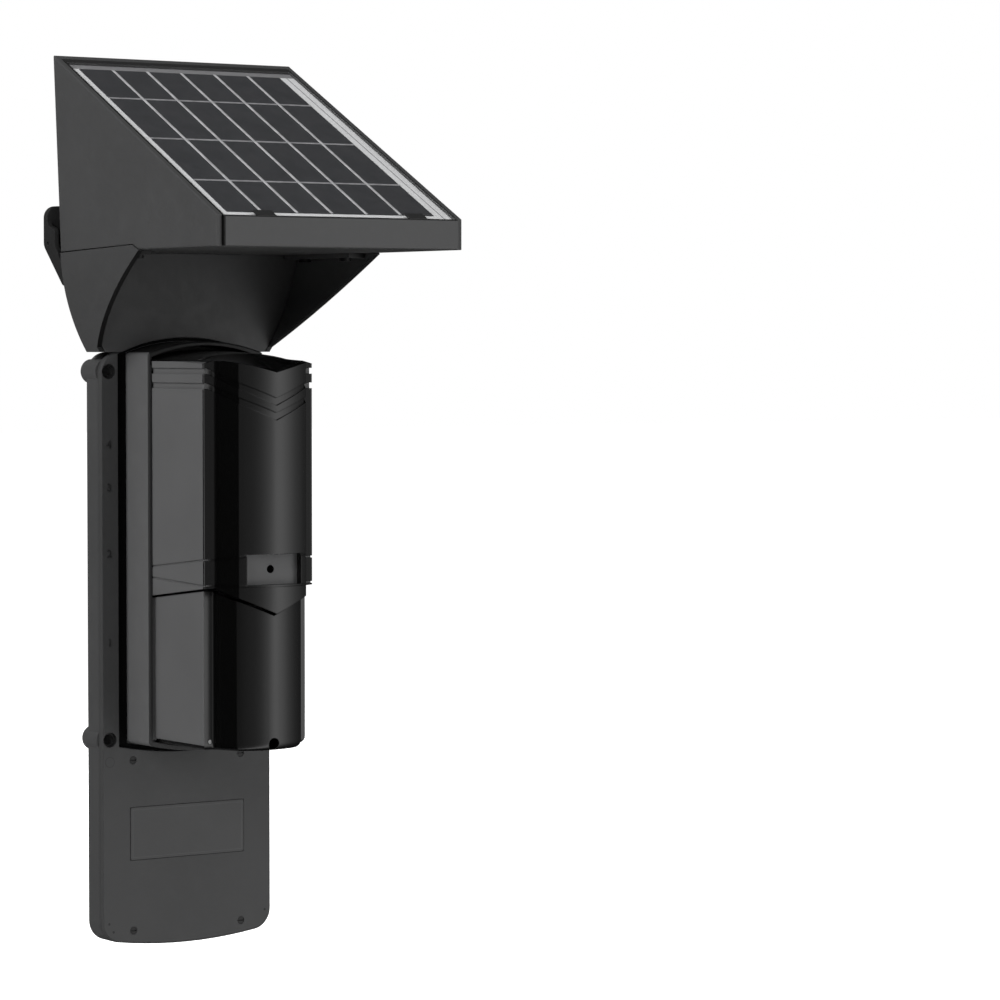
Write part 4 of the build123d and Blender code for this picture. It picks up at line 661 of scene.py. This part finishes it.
def ribbonTree():
    tree = bpy.data.node_groups.new("ribbonRow", "GeometryNodeTree")
    tree.interface.new_socket("Geometry", in_out="OUTPUT", socket_type="NodeSocketGeometry")
    kinds = {
        "Count": "Int", "Pitch": "Float", "Width": "Float", "Height": "Float", "Length": "Float",
        "Sides": "Int", "Finish": "Material",
    }
    inputs = {}
    for title, kind in kinds.items():
        socket = tree.interface.new_socket(title, in_out="INPUT", socket_type="NodeSocket" + kind)
        inputs[title] = socket.identifier
    ask = tree.nodes.new("NodeGroupInput").outputs
    end = tree.nodes.new("NodeGroupOutput")

    def join(source, target):
        tree.links.new(source, target)

    def solve(operation, first, second):
        return addMath(tree, operation, first, second)

    def combine(x=0.0, y=0.0, z=0.0):
        node = tree.nodes.new("ShaderNodeCombineXYZ")
        for value, socket in zip((x, y, z), node.inputs):
            plug(tree, value, socket)
        return node.outputs[0]

    row = tree.nodes.new("GeometryNodeMeshLine")  # one point for each ribbon, centred
    first = solve("MULTIPLY", solve("MULTIPLY", solve("SUBTRACT", ask["Count"], 1), -0.5), ask["Pitch"])
    join(ask["Count"], row.inputs["Count"])
    join(combine(x=first), row.inputs["Start Location"])
    join(combine(x=ask["Pitch"]), row.inputs["Offset"])
    spine = tree.nodes.new("GeometryNodeCurvePrimitiveLine")
    join(combine(y=solve("MULTIPLY", ask["Length"], -0.5)), spine.inputs["Start"])
    join(combine(y=solve("MULTIPLY", ask["Length"], 0.5)), spine.inputs["End"])
    section = tree.nodes.new("GeometryNodeCurvePrimitiveCircle")
    join(ask["Sides"], section.inputs["Resolution"])
    join(solve("MULTIPLY", ask["Width"], 0.5), section.inputs["Radius"])
    strip = tree.nodes.new("GeometryNodeCurveToMesh")
    join(spine.outputs["Curve"], strip.inputs["Curve"])
    join(section.outputs["Curve"], strip.inputs["Profile Curve"])
    strip.inputs["Fill Caps"].default_value = True
    flat = tree.nodes.new("GeometryNodeTransform")
    join(strip.outputs["Mesh"], flat.inputs["Geometry"])
    join(combine(1.0, 1.0, solve("DIVIDE", ask["Height"], ask["Width"])), flat.inputs["Scale"])
    place = tree.nodes.new("GeometryNodeInstanceOnPoints")
    join(row.outputs["Mesh"], place.inputs["Points"])
    join(flat.outputs["Geometry"], place.inputs["Instance"])
    real = tree.nodes.new("GeometryNodeRealizeInstances")
    join(place.outputs["Instances"], real.inputs["Geometry"])
    coat = tree.nodes.new("GeometryNodeSetMaterial")
    join(real.outputs["Geometry"], coat.inputs["Geometry"])
    join(ask["Finish"], coat.inputs["Material"])
    join(coat.outputs["Geometry"], end.inputs["Geometry"])
    return tree, inputs


# The slope that the cells lie on: its axes, its sizes and the level of the cells' faces
def cellSlope():
    cells = nodes["solar_cells"]
    points = [cells.matrix_world @ vertex.co for vertex in cells.data.vertices]
    faces = [face for face in cells.data.polygons if face.normal.z > 0.3]  # those that look up
    up = max(faces, key=lambda face: face.area).normal.normalized()
    along = Vector((0, up.z, -up.y))
    low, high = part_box("solar_cells")
    reach = [point.dot(along) for point in points]
    depth = max(point.dot(up) for point in points)
    middle = Vector(((low.x + high.x) / 2, 0, 0)) + along * (min(reach) + max(reach)) / 2 + up * depth
    turn = Matrix((Vector((1, 0, 0)), along, up)).transposed().to_4x4()
    return Matrix.Translation(middle) @ turn, high.x - low.x, max(reach) - min(reach)


def makeRibbons(shared, row):
    slope, width, length = cellSlope()
    tree, inputs = ribbonTree()
    values = {
        "Count": row["count"],
        "Pitch": row["pitch"] * mm,
        "Width": row["width"] * mm,
        "Height": shared["height"] * mm,
        "Length": width if row["turned"] else length,
        "Sides": shared["sides"],
        "Finish": made[row["finish"]],
    }
    holder = bpy.data.objects.new(row["name"], bpy.data.meshes.new(row["name"]))
    bpy.context.scene.collection.objects.link(holder)
    modifier = holder.modifiers.new("row", "NODES")
    modifier.node_group = tree
    for title, value in values.items():
        modifier[inputs[title]] = value
    mesh = bpy.data.meshes.new_from_object(holder.evaluated_get(bpy.context.evaluated_depsgraph_get()))
    bpy.data.objects.remove(holder)
    turn = Matrix.Rotation(math.pi / 2 if row["turned"] else 0, 4, "Z")
    mesh.transform(slope @ Matrix.Translation((0, 0, row["raised"] * mm)) @ turn)
    piece = bpy.data.objects.new(row["name"], mesh)
    bpy.context.scene.collection.objects.link(piece)
    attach(piece, "housing")


for row in ribbons["rows"]:
    makeRibbons(ribbons, row)
print("cell ribbons laid")


# Raised figures on the flange beside the body, as such mouldings have, in millimetres
figures = {
    "height": 3.4,
    "raised": 0.25,
    "x": -38.0,
    "marks": [("4", 47.1), ("3", 28.9), ("2", 0.9), ("1", -37.0)],
    "sizeForHeight": 1.35,  # the font's size over the height of its figures
    "bevel": 0.05,
    "smoothness": 4,
}


def raiseFigures(look):
    parts = bmesh.new()
    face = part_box("front_panel")[0].y
    for text, level in look["marks"]:
        curve = bpy.data.curves.new("figure", "FONT")
        curve.body = text
        curve.size = look["height"] * look["sizeForHeight"] * mm
        curve.align_x, curve.align_y = "CENTER", "CENTER"
        curve.extrude = look["raised"] * mm
        curve.bevel_depth = look["bevel"] * mm
        curve.resolution_u = look["smoothness"]
        holder = bpy.data.objects.new("figure", curve)
        mesh = bpy.data.meshes.new_from_object(holder)
        place = Matrix.Translation((look["x"] * mm, face, level * mm))
        mesh.transform(place @ Matrix.Rotation(math.pi / 2, 4, "X"))
        parts.from_mesh(mesh)
        bpy.data.objects.remove(holder)
        bpy.data.curves.remove(curve)
        bpy.data.meshes.remove(mesh)
    mesh = bpy.data.meshes.new("flange_figures")
    parts.to_mesh(mesh)
    parts.free()
    piece = bpy.data.objects.new("flange_figures", mesh)
    bpy.context.scene.collection.objects.link(piece)
    # the figures' darker plastic is painted shade of their embossing
    mesh.materials.append(made["optics"])
    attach(piece, "housing")


raiseFigures(figures)
print("flange figures raised")


# Studio: pale floor, white surround, soft lamps, and a tent that only reflections see, in metres and watts
studio = {
    "surround": 0.15,
    "floor": {
        "level": -0.26,
        "size": 24,
        "tones": (0.69, 0.71),
        "cloudSize": 0.6,
        "roughness": 0.9,
        "glow": (0.1, 1.0),  # what the camera sees besides the light, near the object and far off
        "glowReach": (0.2, 0.6),
    },
    "lamps": [
        dict(name="leftLamp", place=(-1.5, -0.5, 0.8), aim=(0, -0.05, 0.0), size=0.9, power=28),
        dict(name="frontLamp", place=(1.1, -1.5, 0.3), aim=(0, -0.05, 0.0), size=0.9, power=6),
        dict(name="backLamp", place=(0.2, 1.8, 0.6), aim=(0, 0, 0.0), size=1.0, power=22),
        dict(name="rightLamp", place=(1.8, 0.45, 0.35), aim=(0, 0, 0.0), size=0.9, power=16),
        dict(name="topLamp", place=(0.1, -0.7, 1.6), aim=(0, -0.06, 0.15), size=0.8, power=9),
    ],
    "tent": {
        "radius": 2.6,
        "sides": 96,
        "low": -2.2,
        "high": 3.2,
        "roofGlow": 0.04,
        "brightest": 2.0,
        "glows": [  # degrees from straight in front towards the right, and how bright
            (-180, 0.25), (-168, 0.12), (-155, 0.0), (-60, 0.02), (-30, 0.1), (-10, 0.26), (0, 0.31),
            (10, 0.5), (21, 0.98), (31, 1.95), (38, 1.8), (45, 1.35), (58, 0.62), (72, 0.24), (90, 0.06),
            (120, 0.03), (152, 0.0), (168, 0.12), (180, 0.25),
        ],
    },
}


def makeWorld(surround):  # white to the camera, reflections and clear parts, and dim as a light
    world = bpy.data.worlds.new("surround")
    world.use_nodes = True
    bpy.context.scene.world = world
    tree = world.node_tree
    tree.nodes.clear()
    rays = tree.nodes.new("ShaderNodeLightPath").outputs
    seen = addMath(tree, "MAXIMUM", rays["Is Camera Ray"], rays["Is Glossy Ray"])
    seen = addMath(tree, "MAXIMUM", seen, rays["Is Transmission Ray"])
    plain, lit = tree.nodes.new("ShaderNodeBackground"), tree.nodes.new("ShaderNodeBackground")
    for background, strength in ((plain, 1.0), (lit, surround)):
        background.inputs["Strength"].default_value = strength
        background.inputs["Color"].default_value = (1, 1, 1, 1)
    mix = tree.nodes.new("ShaderNodeMixShader")
    output = tree.nodes.new("ShaderNodeOutputWorld")
    tree.links.new(seen, mix.inputs["Fac"])
    tree.links.new(lit.outputs[0], mix.inputs[1])
    tree.links.new(plain.outputs[0], mix.inputs[2])
    tree.links.new(mix.outputs[0], output.inputs["Surface"])


def makeFloor(look):
    mesh = bpy.data.meshes.new("floor")
    half = look["size"] / 2
    corners = [(-half, -half), (half, -half), (half, half), (-half, half)]
    mesh.from_pydata([(x, y, look["level"]) for x, y in corners], [], [(0, 1, 2, 3)])
    floor = bpy.data.objects.new("floor", mesh)
    bpy.context.scene.collection.objects.link(floor)
    material, tree, shader, place = newMaterial("paleFloor")
    cloud = addNoise(tree, place, look["cloudSize"], 2.0)
    dull, bright = ((tone,) * 3 for tone in look["tones"])
    tree.links.new(addMix(tree, addRange(tree, cloud, 0, 1), dull, bright), shader.inputs["Base Color"])
    shader.inputs["Roughness"].default_value = look["roughness"]
    shader.inputs["Specular IOR Level"].default_value = 0.0
    shader.inputs["Emission Color"].default_value = (1, 1, 1, 1)
    away = addVector(tree, "LENGTH", place, output="Value")
    glow = addRange(tree, away, *look["glow"], *look["glowReach"])
    seen = tree.nodes.new("ShaderNodeLightPath").outputs["Is Camera Ray"]
    tree.links.new(addMath(tree, "MULTIPLY", seen, glow), shader.inputs["Emission Strength"])
    mesh.materials.append(material)
    floor.visible_glossy = False


def makeLamp(lamp):
    light = bpy.data.lights.new(lamp["name"], "AREA")
    light.size = lamp["size"]
    light.energy = lamp["power"]
    holder = bpy.data.objects.new(lamp["name"], light)
    holder.location = lamp["place"]
    holder.rotation_mode = "QUATERNION"
    holder.rotation_quaternion = (Vector(lamp["aim"]) - Vector(lamp["place"])).to_track_quat("-Z", "Y")
    holder.visible_glossy = False
    bpy.context.scene.collection.objects.link(holder)


def makeTent(look):  # a cylinder round the object, whose brightness goes by direction
    mesh = bpy.data.meshes.new("tent")
    build = bmesh.new()
    low, high, radius = look["low"], look["high"], look["radius"]
    bmesh.ops.create_cone(
        build, cap_ends=True, segments=look["sides"], radius1=radius, radius2=radius, depth=high - low
    )
    bmesh.ops.translate(build, verts=build.verts, vec=(0, 0, (high + low) / 2))
    build.to_mesh(mesh)
    build.free()
    tent = bpy.data.objects.new("tent", mesh)
    bpy.context.scene.collection.objects.link(tent)
    material = bpy.data.materials.new("tent")
    material.use_nodes = True
    tree = material.node_tree
    tree.nodes.clear()
    place = tree.nodes.new("ShaderNodeTexCoord").outputs["Object"]
    x, out, level = addAxes(tree, place)
    around = addMath(tree, "ARCTAN2", x, out)
    share = addMath(tree, "ADD", addMath(tree, "DIVIDE", around, 2 * math.pi), 0.5)
    ramp = tree.nodes.new("ShaderNodeValToRGB")
    tree.links.new(share, ramp.inputs["Fac"])
    stops = ramp.color_ramp.elements
    stops.remove(stops[1])
    for index, (degrees, bright) in enumerate(look["glows"]):
        at = degrees / 360 + 0.5
        stop = stops[0] if index == 0 else stops.new(at)
        stop.position = at
        stop.color = (*(bright / look["brightest"],) * 3, 1)
    roof = addMath(tree, "GREATER_THAN", level, high / mm - 1)
    glow = tree.nodes.new("ShaderNodeEmission")
    tree.links.new(addMix(tree, roof, ramp.outputs["Color"], (look["roofGlow"],) * 3), glow.inputs["Color"])
    glow.inputs["Strength"].default_value = look["brightest"]
    output = tree.nodes.new("ShaderNodeOutputMaterial")
    tree.links.new(glow.outputs[0], output.inputs["Surface"])
    mesh.materials.append(material)
    tent.visible_camera = False
    tent.visible_diffuse = False
    tent.visible_shadow = False
    tent.visible_transmission = False


makeWorld(studio["surround"])
makeFloor(studio["floor"])
for lamp in studio["lamps"]:
    makeLamp(lamp)
makeTent(studio["tent"])
bpy.context.scene.view_settings.view_transform = "Standard"
print("studio lit")
